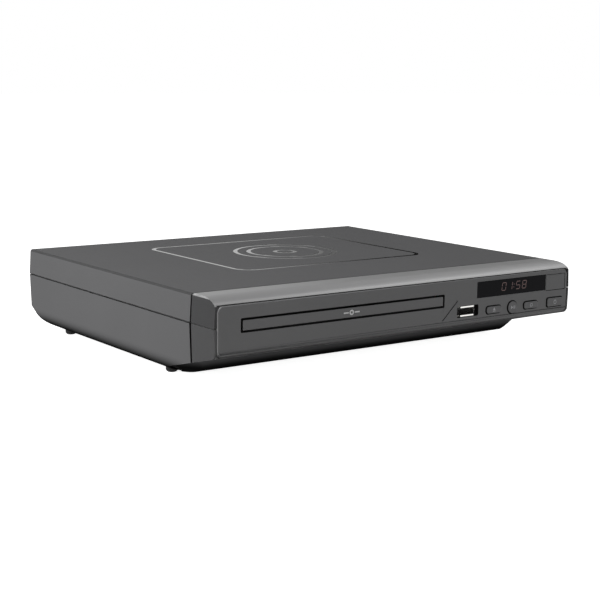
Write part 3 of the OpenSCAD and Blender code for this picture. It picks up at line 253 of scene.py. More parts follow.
def satin(name, colour, rough, metal):
    """Sprayed satin paint with a fine metallic flake and a trace of orange peel."""
    f = Finish(name, Specular_IOR_Level=0.5, Metallic=metal)
    flakes = f.noise(0.25, detail=1.0)
    cloud = f.noise(45.0, detail=2.0)
    peel = f.noise(1.4, detail=2.0)
    f.colour(f.mottle(flakes * 0.6 + cloud * 0.4, colour, 0.86, 1.14))
    f.rough_about(rough, (flakes, 0.08), (cloud, 0.05))
    return f.bump(peel, 0.006)


def polished(name, colour, rough, specular=0.5):
    """Polished plastic with faint handling haze."""
    f = Finish(name, Specular_IOR_Level=specular, IOR=1.5)
    haze = f.noise(14.0, detail=4.0, rough=0.6)
    f.colour(f.mottle(haze, colour, 0.9, 1.1))
    return f.rough_about(rough, (haze, 0.08))


def rolled_metal(name, colour, rough, along=(1, 0, 0)):
    """Rolled or drawn metal, with lines that run along one axis."""
    f = Finish(name, Metallic=1.0)
    drawn_out = 0.04
    lines = f.stretched(tuple(drawn_out if a else 1.0 for a in along))
    streak = f.noise(0.22, rough=0.6, point=lines)
    stain = f.noise(16.0)
    f.colour(f.mottle(stain, colour, 0.86, 1.05))
    f.rough_about(rough, (streak, 0.16), (stain, 0.1))
    return f.bump(streak, 0.01)


def plated(name, colour, rough):
    """Bright plating over a slightly uneven base."""
    f = Finish(name, Metallic=1.0)
    wave = f.noise(3.0)
    f.colour(f.mottle(wave, colour, 0.92, 1.04))
    f.rough_about(rough, (wave, 0.12))
    return f.bump(wave, 0.01)


def soft_rubber(name, colour):
    """Moulded rubber with a dusty bloom."""
    f = Finish(name, Specular_IOR_Level=0.25)
    dust = f.noise(5.0, detail=4.0, rough=0.65)
    f.colour(f.mottle(dust, colour, 0.8, 1.7))
    f.rough_about(0.755, (dust, 0.15))
    return f.bump(f.noise(0.5, detail=2.0), 0.03)


def circuit_board(name, mask, track, pitch=1.6):
    """Solder mask over raised tracks, with tinned pads round their holes."""
    tin, hole = (0.62, 0.60, 0.55), (0.01, 0.01, 0.01)
    track_half = 0.17                       # in lanes
    pad_pitch = 5.08
    pad_squared, hole_squared = 0.8, 0.16   # squares of the radii
    f = Finish(name, Specular_IOR_Level=0.5, Coat_Weight=0.25, Coat_Roughness=0.2)
    x, y, _ = f.axes()
    crossways = f.cells(17.0, random=0.9) > 0.42
    lane = x.from_lane(pitch) * crossways + y.from_lane(pitch) * (1.0 - crossways)
    tracks = (lane < track_half) * (f.noise(9.0, detail=0.0) > 0.47)
    pad_x = x.from_lane(pad_pitch) * pad_pitch
    pad_y = y.from_lane(pad_pitch) * pad_pitch
    away_squared = pad_x * pad_x + pad_y * pad_y
    drilled = f.noise(7.0, detail=0.0) > 0.56
    pads = (away_squared < pad_squared) * drilled
    holes = (away_squared < hole_squared) * drilled
    base = f.mix(pads, f.mix(tracks, mask, track), tin)
    f.colour(f.mix(holes, base, hole))
    f.rough(0.42 - pads * 0.12)
    return f.bump(tracks * 0.5 + pads - holes, 0.04)


def chip_package(name, colour):
    """Black moulding compound with a matt, sandy skin."""
    f = Finish(name, Specular_IOR_Level=0.4)
    fine = f.noise(0.25, detail=2.0)
    f.colour(f.mottle(fine, colour, 0.8, 1.8))
    f.rough_about(0.55, (fine, 0.2))
    return f.bump(fine, 0.02)


def wound_tape(name, colour):
    """Yellow winding tape in overlapping turns."""
    f = Finish(name, Specular_IOR_Level=0.5, Coat_Weight=0.3, Coat_Roughness=0.25)
    tape_width, overlap = 3.2, 0.07
    turn = (f.axes()[2] / tape_width).fract()
    edge = turn < overlap
    f.colour(f.mix(edge, f.mottle(f.noise(6.0), colour, 0.85, 1.1), tint(colour, 0.5)))
    f.rough(0.38 + edge * 0.2)
    return f.bump(turn, 0.08)


def flat_cable(name, colour):
    """White film cable with its conductors showing through."""
    pitch, wire_half = 1.0, 0.2
    f = Finish(name, Specular_IOR_Level=0.4)
    wire = f.axes()[0].from_lane(pitch) < wire_half
    f.colour(f.mix(wire, colour, (0.42, 0.40, 0.36)))
    f.rough(0.42)
    return f.bump(wire, 0.03)


def coated_lens(name, colour):
    """Lens with its blue-green coating."""
    f = Finish(name, Specular_IOR_Level=0.8, Coat_Weight=1.0, Coat_Roughness=0.02)
    sheen = f.noise(6.0, detail=1.0)
    f.colour(f.mottle(sheen, colour, 0.6, 1.2))
    return f.rough_about(0.07, (sheen, 0.04))


def groove_shade_and_polish(name):
    """Near-black polished plastic for the lid's shallow lines: its near-black colour is painted shade in the
    grooves, under a real polish.
    """
    f = Finish(name, Specular_IOR_Level=0.5, IOR=1.52)
    f.colour(f.mix(f.noise(30.0), even_grey(0.012), even_grey(0.018)))
    return f.rough_about(0.1, (f.noise(8.0), 0.04))


def glowing(name, colour, strength):
    """A dim lit segment."""
    f = Finish(name, Specular_IOR_Level=0.5, Emission_Strength=strength, Emission_Color=colour)
    f.colour(f.mottle(f.noise(1.0), colour, 0.25, 0.4))
    return f.rough(0.1)


def print_ink(name, colour):
    """Pad-printed ink, a little worn at its edges."""
    f = Finish(name, Specular_IOR_Level=0.3)
    f.colour(f.mottle(f.noise(0.6), colour, 0.8, 1.0))
    return f.rough(0.55)


CASE_GREY = even_grey(0.108, 0.002)
FRONT_GREY = even_grey(0.1, 0.001)


def slot_finishes():
    """The finish of each material slot of the record."""
    made = {
        "shell_top": moulded("top_shell_plastic", CASE_GREY, rough=0.74, specular=0.05),
        # painted shade: the lower shell's colour darkens towards its underside
        "shell_low": painted_shade_along(moulded("lower_shell_plastic", CASE_GREY, rough=0.74, specular=0.0),
                              tint(CASE_GREY, 1.14), low=5.2, high=15.0),
        "bullnose": satin("gunmetal_paint", even_grey(0.165, 0.001), rough=0.405, metal=0.7),
        # painted shade: the front frame's colour darkens down its chin towards the bottom
        "front_low": painted_shade_along(moulded("front_frame_plastic", FRONT_GREY, rough=0.55, grain=0.3, depth=0.006,
                                      specular=0.1), tint(FRONT_GREY, 0.8), low=13.0, high=26.3),
        "panel": moulded("panel_plastic", FRONT_GREY, rough=0.42, grain=0.25, depth=0.005, specular=0.2),
        "window": polished("smoked_window", even_grey(0.005, 0.001), rough=0.13, specular=0.035),
        "button": moulded("button_plastic", even_grey(0.088, 0.002), rough=0.4, grain=0.3, depth=0.003,
                          specular=0.25),
        "dark_plastic": moulded("black_moulding", even_grey(0.018, 0.001), rough=0.5, grain=0.5),
        "steel": rolled_metal("sheet_steel", even_grey(0.56, 0.01), rough=0.37),
        "nickel": plated("nickel_plate", (0.66, 0.65, 0.63), rough=0.17),
        "pcb": circuit_board("green_board", (0.012, 0.085, 0.035), (0.03, 0.17, 0.07)),
        "pcb_tan": circuit_board("tan_board", (0.30, 0.19, 0.075), (0.36, 0.24, 0.11), pitch=2.4),
        "chip": chip_package("chip_black", even_grey(0.012, 0.001)),
        "cap_blue": polished("capacitor_sleeve", (0.014, 0.02, 0.06), rough=0.29),
        "gear_white": moulded("gear_acetal", (0.70, 0.69, 0.64), rough=0.42, grain=0.8, depth=0.01),
        "rubber": soft_rubber("black_rubber", even_grey(0.011)),
        "lens": coated_lens("lens_coating", (0.05, 0.16, 0.24)),
        "aluminium": rolled_metal("cast_aluminium", (0.50, 0.51, 0.53), rough=0.43, along=(0, 1, 0)),
        "yellow": polished("yellow_collar", (0.74, 0.45, 0.02), rough=0.29),
        "white": polished("white_collar", (0.76, 0.75, 0.71), rough=0.31),
        "red": polished("red_collar", (0.48, 0.02, 0.015), rough=0.29),
        "brass": plated("brass_turned", (0.66, 0.48, 0.20), rough=0.25),
        "tape": wound_tape("winding_tape", (0.62, 0.42, 0.06)),
        "ribbon": flat_cable("ribbon_film", (0.72, 0.72, 0.69)),
        "led_block": chip_package("display_block", even_grey(0.02, 0.002)),
    }
    return {slot: finish.material for slot, finish in made.items()}


FINISHES = slot_finishes()

# Second materials, for lines, signs, joints and edges within a piece; most of those for lines, joints and
# edges are painted shade or painted highlights.
# Painted shade, polished, for the lid's lines.
GROOVE_PAINTED_SHADE = groove_shade_and_polish("groove_shade_and_polish").material
DIGIT_RED = glowing("segment_red", (0.085, 0.022, 0.017), 0.4).material
PALE_INK = print_ink("pale_ink", even_grey(0.55)).material
GREY_INK = print_ink("grey_ink", even_grey(0.34, 0.01)).material
# Near-black painted shade for joints, gaps, the walls of openings and the hidden sides of caps and the tray
# front.
SEAM_PAINTED_SHADE = moulded("joint_painted_shade", even_grey(0.006), rough=0.8, specular=0.05).material
# Painted shade along the lid's eased upper side rims.
EDGE_PAINTED_SHADE = moulded("lid_edge_painted_shade", even_grey(0.06, 0.001), rough=0.7, specular=0.05).material
# Painted shade for the bow under the front unit: light near its top and nearly black towards the bottom.
UNDER_PAINTED_SHADE = painted_shade_along(moulded("underside_painted_shade", CASE_GREY, rough=0.7, specular=0.0),
                      tint(CASE_GREY, 2.1), low=7.0, high=15.0).material
# Painted shade for the curled foot of the panel, darker everywhere but near its right end.
FOOT_PAINTED_SHADE = painted_shade_along(moulded("panel_foot_painted_shade", FRONT_GREY, rough=0.6, specular=0.1),
                     FRONT_GREY, low=72.0, high=88.0, axis=0, least=0.6).material
# Painted highlight for the left-facing eased edges of the panel's rim and of the nose.
RIM_PAINTED_HIGHLIGHT = polished("panel_rim", even_grey(0.27, 0.003), rough=0.21).material
RIM_DIM = polished("panel_rim_top", even_grey(0.1, 0.002), rough=0.31, specular=0.3).material
# The nose's ends in a darker grey, partly their own plastic and partly painted shade, and painted shade on
# the nose's lower lip and on the strip at its right end.
NOSE_END_AND_PAINTED_SHADE = moulded("nose_end_and_painted_shade", even_grey(0.044, 0.001), rough=0.6, specular=0.06).material
CAP_GREY = moulded("frame_end_plastic", even_grey(0.06, 0.001), rough=0.6, specular=0.06).material


# ------------------------------------------------------------------ bench tools

UPRIGHT = (math.pi / 2, 0, 0)       # turns a round piece to face along y
WELD = 0.002                        # points closer than this are one


def box_mm(node):
    """A node's lowest and highest corners, in millimetres."""
    low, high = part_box(node)
    return low / MM, high / MM


def only(*pieces):
    """Selects these objects and nothing else."""
    if bpy.context.object and bpy.context.object.mode != "OBJECT":
        bpy.ops.object.mode_set(mode="OBJECT")
    for o in list(bpy.context.view_layer.objects.selected):
        o.select_set(False)
    for o in pieces:
        o.select_set(True)
    bpy.context.view_layer.objects.active = pieces[0] if pieces else None


def settle(piece):
    """Puts a piece's place, turn and size into its mesh."""
    only(piece)
    bpy.ops.object.transform_apply(location=True, rotation=True, scale=True)
    return piece


def named(name):
    """Names the piece that an operator has just made, and settles it."""
    piece = bpy.context.object
    piece.name = name
    return settle(piece)


def fit(piece, material, body="root"):
    """Gives a finished piece its material and its body."""
    settle(piece)
    piece.data.materials.clear()
    piece.data.materials.append(material)
    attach(piece, body)
    return piece


def fit_for(piece, node):
    """Lets a finished piece stand for a node, with the node's own finish and body."""
    slot = SLOT_OF[node]
    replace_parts(piece, node)
    return fit(piece, FINISHES[slot], BODY_OF[node])


def paint(piece, material, test):
    """Gives a second material to the faces that pass a test on their middle and normal."""
    piece.data.materials.append(material)
    index = len(piece.data.materials) - 1
    for face in piece.data.polygons:
        if test(face.center / MM, face.normal):
            face.material_index = index


def edges_where(piece, test):
    """In edit mode, selects the edges that pass a test on their two ends and their angle, and counts them."""
    mesh = bmesh.from_edit_mesh(piece.data)
    count = 0
    for e in mesh.edges:
        turn = math.degrees(e.calc_face_angle(0.0))
        e.select = bool(test(e.verts[0].co / MM, e.verts[1].co / MM, turn))
        count += e.select
    bmesh.update_edit_mesh(piece.data)
    return count


def faces_where(piece, test):
    """In edit mode, selects the faces that pass a test on their middle and normal."""
    mesh = bmesh.from_edit_mesh(piece.data)
    for part in (*mesh.verts, *mesh.edges, *mesh.faces):
        part.select = False
    for face in mesh.faces:
        if test(face.calc_center_median() / MM, face.normal):
            face.select = True
    bmesh.update_edit_mesh(piece.data)


def ease(piece, width, steps, test):
    """Rounds the chosen edges by a width in millimetres."""
    only(piece)
    bpy.ops.object.mode_set(mode="EDIT")
    bpy.ops.mesh.select_mode(type="EDGE")
    if edges_where(piece, test):
        bpy.ops.mesh.bevel(offset=width * MM, segments=steps, profile=0.5, clamp_overlap=False)
    bpy.ops.object.mode_set(mode="OBJECT")
    return piece


def smooth(piece, angle=35.0):
    """Shades the curved faces smooth, and keeps the large flat faces flat."""
    only(piece)
    bpy.ops.object.shade_smooth_by_angle(angle=math.radians(angle))
    flat = piece.modifiers.new("flat_faces", "WEIGHTED_NORMAL")
    flat.keep_sharp = True
    flat.weight = 60
    bpy.ops.object.modifier_apply(modifier=flat.name)
    return piece


def merged_copy(node, name):
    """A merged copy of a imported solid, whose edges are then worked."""
    solid = NODES[node]
    piece = solid.copy()
    piece.data = solid.data.copy()
    piece.name = name
    piece.parent = None
    for key in list(piece.keys()):
        del piece[key]
    piece.data.materials.clear()
    bpy.context.scene.collection.objects.link(piece)
    piece.hide_render = piece.hide_viewport = False
    only(piece)
    if piece.data.has_custom_normals:
        bpy.ops.mesh.customdata_custom_splitnormals_clear()
    bpy.ops.object.mode_set(mode="EDIT")
    bpy.ops.mesh.select_all(action="SELECT")
    bpy.ops.mesh.remove_doubles(threshold=WELD * MM)
    bpy.ops.mesh.dissolve_limited(angle_limit=math.radians(0.4))
    bpy.ops.mesh.select_all(action="DESELECT")
    bpy.ops.object.mode_set(mode="OBJECT")
    return piece


def dressed(node, ease_by=0.2, steps=2, *, over, shortest, name=None):
    """A merged copy that stands for the node, with the edges eased that are sharp and long enough."""
    piece = merged_copy(node, name or node + "_part")
    ease(piece, ease_by, steps, lambda a, b, turn: turn > over and (a - b).length > shortest)
    smooth(piece)
    return fit_for(piece, node)


def bar(name, low, high):
    """A cube fitted between two corners, in millimetres."""
    only()
    low, high = Vector(low) * MM, Vector(high) * MM
    bpy.ops.mesh.primitive_cube_add(size=1.0, location=(low + high) / 2, scale=high - low)
    return named(name)


def turned(name, centre, outline, sides=32):
    """A round piece that faces along y, drawn from its first ring through (radius, height) points."""
    only()
    radius, height = outline[0]
    bpy.ops.mesh.primitive_circle_add(vertices=sides, radius=radius * MM, location=(0, 0, height * MM))
    piece = named(name)
    bpy.ops.object.mode_set(mode="EDIT")
    bpy.ops.mesh.select_all(action="SELECT")
    for r, h in outline[1:]:
        bpy.ops.mesh.extrude_region_move(TRANSFORM_OT_translate={"value": (0, 0, (h - height) * MM)})
        bpy.ops.transform.resize(value=(r / radius, r / radius, 1), center_override=(0, 0, h * MM))
        radius, height = r, h
    bpy.ops.mesh.select_all(action="SELECT")
    bpy.ops.mesh.remove_doubles(threshold=WELD * MM)
    bpy.ops.mesh.normals_make_consistent(inside=False)
    bpy.ops.object.mode_set(mode="OBJECT")
    piece.rotation_euler = UPRIGHT
    piece.location = Vector(centre) * MM
    return settle(piece)


def joined(name, pieces):
    """Several like pieces as one."""
    only(*pieces)
    bpy.ops.object.join()
    bpy.context.object.name = name
    return bpy.context.object


# ------------------------------------------------------------------ case

SEAM_Y = box_mm("top_cover")[0].y       # the joint between the case and the front unit


def lid():
    """The top shell: eased rims, and polished lines for the outline and the rings, filled near-black as
    painted shade; painted shade in its joints and along its upper side rims.
    """
    cut, lift = 0.3, 0.22       # the lines as cut, and how far their floors come up again
    foot = 0.26                 # height of the eased lower rim
    border, rear_border = 20, 12
    piece = merged_copy("top_cover", "lid_shell")
    low, high = box_mm("top_cover")
    inside = high.x - border
    shoulder = high.z - 3

    def among_lines(c):
        return abs(c.x) < inside and low.y + border < c.y < high.y - rear_border

    def on_rims(a, b, turn):
        lower = max(a.z, b.z) < low.z + 0.2
        upper = min(a.z, b.z) > shoulder
        return turn > 50 and (a - b).length > 3 and not among_lines(a) and (lower or upper)

    def line_floor(c, n):
        return among_lines(c) and abs(c.z - (high.z - cut)) < 0.05 and n.z > 0.9

    def in_joint(c, n):
        front = c.y < low.y + 0.3 and abs(c.x) > inside and c.z < high.z - 0.3
        below = c.z < low.z + foot and abs(n.z) < 0.98 and abs(n.x) > 0.1
        return front or below

    ease(piece, 0.25, 3, on_rims)
    only(piece)
    bpy.ops.object.mode_set(mode="EDIT")
    bpy.ops.mesh.select_mode(type="FACE")
    faces_where(piece, line_floor)
    bpy.ops.transform.translate(value=(0, 0, lift * MM))
    bpy.ops.object.mode_set(mode="OBJECT")
    smooth(piece)
    fit_for(piece, "top_cover")
    # painted shade: the shallow lines are filled near-black and polished
    paint(piece, GROOVE_PAINTED_SHADE, lambda c, n: among_lines(c) and high.z - 0.12 < c.z < high.z - 0.01)
    # painted shade in the joint at the front and along the lower rim
    paint(piece, SEAM_PAINTED_SHADE, in_joint)
    # painted shade along the upper side rims
    paint(piece, EDGE_PAINTED_SHADE, lambda c, n: abs(n.x) > 0.35 and n.z > 0.35 and c.z > shoulder)


def bottom_shell():
    """The lower shell, with painted shade on its bow under the front unit and in its joints."""
    bow_length, bow_top = 30, 16
    piece = dressed("lower_chassis", 0.25, 2, over=50, shortest=2.5, name="bottom_shell")
    rim_z = box_mm("lower_chassis")[1].z

    def in_joint(c, n):
        front = SEAM_Y - 0.1 < c.y < SEAM_Y + 0.3 and n.y < -0.1
        above = c.z > rim_z - 0.26 and abs(n.z) < 0.98
        return front or above

    # painted shade on the bow under the front unit, darker towards the bottom
    paint(piece, UNDER_PAINTED_SHADE, lambda c, n: n.z < -0.2 and c.y < SEAM_Y + bow_length and c.z < bow_top)
    # painted shade in the joints at the front and along the upper rim
    paint(piece, SEAM_PAINTED_SHADE, in_joint)


def case_parts():
    """The two shells, the rear panel, the feet and the screws."""
    lid()
    bottom_shell()
    dressed("rear_panel", 0.15, over=60, shortest=1.0)
    dressed("feet", over=50, shortest=0.2)
    dressed("case_screws", 0.12, over=60, shortest=0.5)


# ------------------------------------------------------------------ front

PANEL_END_X = box_mm("face_plate")[1].x         # the panel's right edge


def behind_seam(c, n):
    """Whether a face lies in the joint between the front unit and the case."""
    return c.y > SEAM_Y - 1.1


def bullnose():
    """The painted nose over the top of the front, eased but for the foot of its right end."""
    piece = merged_copy("front_top_trim", "nose_trim")
    foot = box_mm("front_top_trim")[0].z

    def sharp(a, b, turn):
        at_foot = max(a.z, b.z) < foot + 0.1 and min(a.x, b.x) > PANEL_END_X
        return turn > 40 and (a - b).length > 1.0 and max(a.y, b.y) < SEAM_Y - 1 and not at_foot

    def ends_and_shaded_faces(c, n):
        return abs(n.x) > 0.75 or n.z < 0.35 or abs(c.x) > PANEL_END_X and n.y < -0.6

    ease(piece, 0.25, 3, sharp)
    smooth(piece, 40)
    fit_for(piece, "front_top_trim")
    # the ends in their darker grey, and painted shade on the lower lip and the right-end strip
    paint(piece, NOSE_END_AND_PAINTED_SHADE, ends_and_shaded_faces)
    # painted highlight on the left-facing eased edges
    paint(piece, RIM_PAINTED_HIGHLIGHT, lambda c, n: -0.8 < n.x < -0.25 and n.z > 0.35)
    # painted shade in the joint with the case
    paint(piece, SEAM_PAINTED_SHADE, behind_seam)


def front_frame():
    """The frame behind and below the panel, with the lower halves of the ends."""
    piece = merged_copy("front_lower_frame", "lower_frame")
    ease(piece, 0.25, 2, lambda a, b, turn: turn > 45 and (a - b).length > 1.5)
    smooth(piece, 40)
    fit_for(piece, "front_lower_frame")
    paint(piece, CAP_GREY, lambda c, n: abs(n.x) > 0.75)
    # painted shade in the joint with the case
    paint(piece, SEAM_PAINTED_SHADE, behind_seam)


def rim_distance(point, middle, size, corner):
    """How far a point is from the outline of a rounded rectangle in the panel's plane."""
    qx = abs(point.x - middle[0]) - (size[0] / 2 - corner)
    qz = abs(point.z - middle[1]) - (size[1] / 2 - corner)
    return math.hypot(max(qx, 0), max(qz, 0)) + min(max(qx, qz), 0) - corner


def control_panel():
    """The front plate, with a broad polished edge all round and fine edges on its openings, a painted
    highlight on the left-facing part of its rim, and painted shade on its foot and on the walls of its
    openings.
    """
    corner = 3.5                        # radius of the panel's corners
    broad, narrow = 0.7, 0.35           # eased edge all round, and at the right end
    margin = 1.6                        # reach of an opening's dark walls
    slash_from_flap, slash_half = 9.5, 7.5      # place and reach of the slanted groove
    piece = merged_copy("face_plate", "control_panel")
    low, high = box_mm("face_plate")
    front, back = low.y, high.y
    middle = ((low.x + high.x) / 2, (low.z + high.z) / 2)
    size = (high.x - low.x, high.z - low.z)
    foot = low.z + 1.0

    def on_rim(a, b, turn):
        near = max(abs(rim_distance(v, middle, size, corner)) for v in (a, b)) < 0.06
        return near and turn > 40 and max(a.y, b.y) < back - 0.1 and max(a.z, b.z) > foot

    def on_right(a, b):
        return max(a.x, b.x) > high.x - corner + 0.1

    def on_opening(a, b, turn):
        away = min(-rim_distance(v, middle, size, corner) for v in (a, b)) > 1.0
        return away and turn > 50 and max(a.y, b.y) < front + 0.05

    ease(piece, 0.2, 2, on_opening)
    ease(piece, broad, 4, lambda a, b, turn: on_rim(a, b, turn) and not on_right(a, b))
    ease(piece, narrow, 4, lambda a, b, turn: on_rim(a, b, turn) and on_right(a, b))
    smooth(piece, 40)
    fit_for(piece, "face_plate")

    openings = [box_mm(node) for node in ("tray_flap", "open_button", "play_button", "stop_button",
                                          "power_button", "usb_socket", "sensor_plate")]
    flap_high = openings[0][1]
    slash_x = flap_high.x + slash_from_flap

    def rim_face(c, n):
        return -rim_distance(c, middle, size, corner) < 0.72 and n.y > -0.985 and c.y < back - 0.4

    def curled_foot(c, n):
        return c.z < low.z + 3 and n.y < -0.5 and n.z < -0.55

    def wall_of_opening(c, n):
        hole = any(a.x - margin < c.x < b.x + margin and a.z - margin < c.z < b.z + margin
                   for a, b in openings)
        slash = abs(c.x - slash_x) < slash_half and c.z < flap_high.z + 2 and c.y > front + 0.25
        return n.y > -0.985 and front + 0.01 < c.y < back - 0.05 and (hole or slash)

    paint(piece, RIM_DIM, lambda c, n: rim_face(c, n) and c.z > foot)
    # painted highlight: the left-facing part of the rim is lighter
    paint(piece, RIM_PAINTED_HIGHLIGHT, lambda c, n: rim_face(c, n) and n.x < -0.2)
    # painted shade on the curled foot
    paint(piece, FOOT_PAINTED_SHADE, curled_foot)
    # painted shade on the walls of the openings and of the slanted groove
    paint(piece, SEAM_PAINTED_SHADE, wall_of_opening)


def push_cap(kind):
    """A button with a crowned, eased cap, and painted shade on its sides."""
    node = kind + "_button"
    piece = merged_copy(node, kind + "_cap")
    front = box_mm(node)[0].y
    ease(piece, 0.35, 4, lambda a, b, turn: turn > 40 and max(a.y, b.y) < front + 0.02)
    smooth(piece, 50)
    fit_for(piece, node)
    # painted shade on the sides of the cap
    paint(piece, SEAM_PAINTED_SHADE, lambda c, n: n.y > -0.3 and c.y > front + 0.3)


# ------------------------------------------------------------------ printed signs

INK_HALF = 0.015        # half the thickness of a printed sign
INK_LIFT = 0.003        # how far a sign's middle stands before its face


def arrowhead(x, y, z, size, turn):
    """A small flat triangle in the panel's plane."""
    thick = 2 * INK_HALF
    only()
    bpy.ops.mesh.primitive_cylinder_add(vertices=3, radius=size * MM, depth=thick * MM, rotation=UPRIGHT)
    piece = named("mark")
    piece.rotation_euler = (0, math.radians(turn), 0)
    piece.location = Vector((x, y, z)) * MM
    return settle(piece)


def dash(x, y, z, width, height):
    """A small flat bar in the panel's plane, round a centre."""
    right, up = width / 2, height / 2
    return bar("mark", (x - right, y - INK_HALF, z - up), (x + right, y + INK_HALF, z + up))


def ring_mark(x, y, z, inner, outer):
    """A small flat ring in the panel's plane."""
    front, back = -INK_HALF, INK_HALF
    outline = [(inner, front), (outer, front), (outer, back), (inner, back), (inner, front)]
    return turned("mark", (x, y, z), outline)


def open_sign(x, y, z):
    """A triangle over a bar."""
    return [arrowhead(x, y, z + 0.35, 1.1, 0), dash(x, y, z - 0.8, 2.1, 0.4)]


def play_sign(x, y, z):
    """A triangle that points right, and two upright bars."""
    return [arrowhead(x - 0.9, y, z, 1.1, 90), dash(x + 0.7, y, z, 0.4, 1.9), dash(x + 1.5, y, z, 0.4, 1.9)]


def stop_sign(x, y, z):
    """The outline of a square."""
    flat = [dash(x, y, z + side * 0.75, 1.9, 0.35) for side in (-1, 1)]
    return flat + [dash(x + side * 0.78, y, z, 0.35, 1.85) for side in (-1, 1)]


def power_sign(x, y, z):
    """A ring with a bar through its top."""
    return [ring_mark(x, y, z, 0.85, 1.2), dash(x, y, z + 0.85, 0.3, 1.4)]


def button_marks():
    """Printed signs on the caps: open, play and pause, stop, and power."""
    y = box_mm("open_button")[0].y - INK_LIFT
    for kind, sign in (("open", open_sign), ("play", play_sign), ("stop", stop_sign), ("power", power_sign)):
        low, high = box_mm(kind + "_button")
        middle = (low + high) / 2
        fit(joined(kind + "_sign", sign(middle.x, y, middle.z)), GREY_INK, kind + "_button")


def tray_mark():
    """A small printed ring between two dashes on the front of the tray."""
    low, high = box_mm("tray_flap")
    x = (low.x + high.x) / 2 + 2.2
    y = low.y - INK_LIFT
    z = (low.z + high.z) / 2
    dashes = [dash(x + side * 3.6, y, z, 3.2, 0.7) for side in (-1, 1)]
    fit(joined("tray_mark", [ring_mark(x, y, z, 0.7, 1.4)] + dashes), PALE_INK, "tray")


# The bars that each digit lights, from a at the top round to f, with g in the middle.
LIT_BARS = {"0": "abcdef", "1": "bc", "5": "afgcd", "8": "abcdefg"}


def digits():
    """Four dim seven-bar digits with a colon, leaning a little, on the gloss of the window."""
    tall, wide, thick, lean = 4.3, 2.9, 0.42, 0.13
    pitch, colon_gap, colon_place, colon_dot = 4.9, 1.2, 9.2, 0.5
    dot_heights = (1.3, 2.9)
    margin_left, margin_foot = 18.7, 2.6
    low = box_mm("display_window")[0]
    y = low.y - INK_LIFT
    left, foot = low.x + margin_left, low.z + margin_foot
    half = tall / 2
    bars = {"a": (wide / 2, tall, True), "b": (wide, tall - half / 2, False), "c": (wide, half / 2, False),
            "d": (wide / 2, 0, True), "e": (0, half / 2, False), "f": (0, tall - half / 2, False),
            "g": (wide / 2, half, True)}
    made = []
    for i, digit in enumerate("0158"):
        start = left + i * pitch + (colon_gap if i > 1 else 0)
        for letter in LIT_BARS[digit]:
            x, z, flat = bars[letter]
            size = (wide - thick, thick) if flat else (thick, half - thick)
            made.append(dash(start + x, y, foot + z, *size))
    for z in dot_heights:
        made.append(dash(left + colon_place, y, foot + z, colon_dot, colon_dot))
    piece = joined("display_digits", made)
    for v in piece.data.vertices:
        v.co.x += (v.co.z - foot * MM) * lean
    fit(piece, DIGIT_RED)


# ------------------------------------------------------------------ front, assembled

def usb_port():
    """The socket's sheet shell, with a rolled lip along its top and its foot."""
    half, deep, inset, rise = 4.9, 0.5, 0.5, 0.45       # of a lip
    shell = merged_copy("usb_socket", "usb_shell")
    ease(shell, 0.1, 2, lambda a, b, turn: turn > 60 and (a - b).length > 1.0)
    low, high = box_mm("usb_socket")
    x = (low.x + high.x) / 2
    lips = []
    for z in (low.z + inset, high.z - inset):
        lip = bar("lip", (x - half, low.y + 0.01, z - rise), (x + half, low.y + deep, z + rise))
        lips.append(ease(lip, 0.15, 3, lambda a, b, turn: True))
    port = joined("usb_port", [shell] + lips)
    fit_for(smooth(port), "usb_socket")


def front_parts():
    """The nose, the frame, the panel and all that sits in its openings but the tray."""
    bullnose()
    front_frame()
    control_panel()
    dressed("display_window", 0.12, 3, over=60, shortest=1.0, name="smoked_window")
    digits()
    dressed("sensor_plate", 0.15, over=60, shortest=1.0)
    for kind in ("open", "play", "stop", "power"):
        push_cap(kind)
    button_marks()
    usb_port()
    dressed("usb_tongue", 0.1, over=60, shortest=1.0)


def tray_parts():
    """The tray and its front, which stays grey only on its face: the rest of the front is painted shade."""
    flap = dressed("tray_flap", steps=3, over=60, shortest=0.3)
    # painted shade on all of the tray front but its face
    paint(flap, SEAM_PAINTED_SHADE, lambda c, n: n.y > -0.9)
    tray_mark()
    dressed("tray", 0.3, over=60, shortest=0.8)


def plain_nodes():
    """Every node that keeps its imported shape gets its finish."""
    replaced = {node for o in bpy.data.objects for node in o.get("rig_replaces", [])}
    for name, node in NODES.items():
        if name not in replaced:
            node.data.materials.clear()
            node.data.materials.append(FINISHES[SLOT_OF[name]])


# ------------------------------------------------------------------ stage

EYE = Vector((-0.45927, -0.6398, 0.1597))
YAW, PITCH, ROLL = (math.radians(a) for a in (35.993, 9.868, 0.7586))
FOCAL_LENGTH = 80.28
WHITE = (1, 1, 1, 1)


def camera():
    """The camera, at the height and angle from which such a player is usually shown."""
    ahead = Vector((math.sin(YAW) * math.cos(PITCH), math.cos(YAW) * math.cos(PITCH), -math.sin(PITCH)))
    right = Vector((math.cos(YAW), -math.sin(YAW), 0))
    up = right.cross(ahead)
    side = right * math.cos(ROLL) + up * math.sin(ROLL)
    over = up * math.cos(ROLL) - right * math.sin(ROLL)
    data = bpy.data.cameras.new("camera")
    data.lens = FOCAL_LENGTH
    data.sensor_width = 36.0
    data.clip_start, data.clip_end = 0.05, 20.0
    shot = bpy.data.objects.new("camera", data)
    bpy.context.scene.collection.objects.link(shot)
    axes = Matrix((side, over, -ahead)).transposed()
    shot.matrix_world = Matrix.Translation(EYE) @ axes.to_4x4()
    bpy.context.scene.camera = shot


def facing(place, target):
    """The turn that lets a lamp or a card at a place face a target."""
    return (Vector(target) - Vector(place)).to_track_quat("-Z", "Y").to_euler()


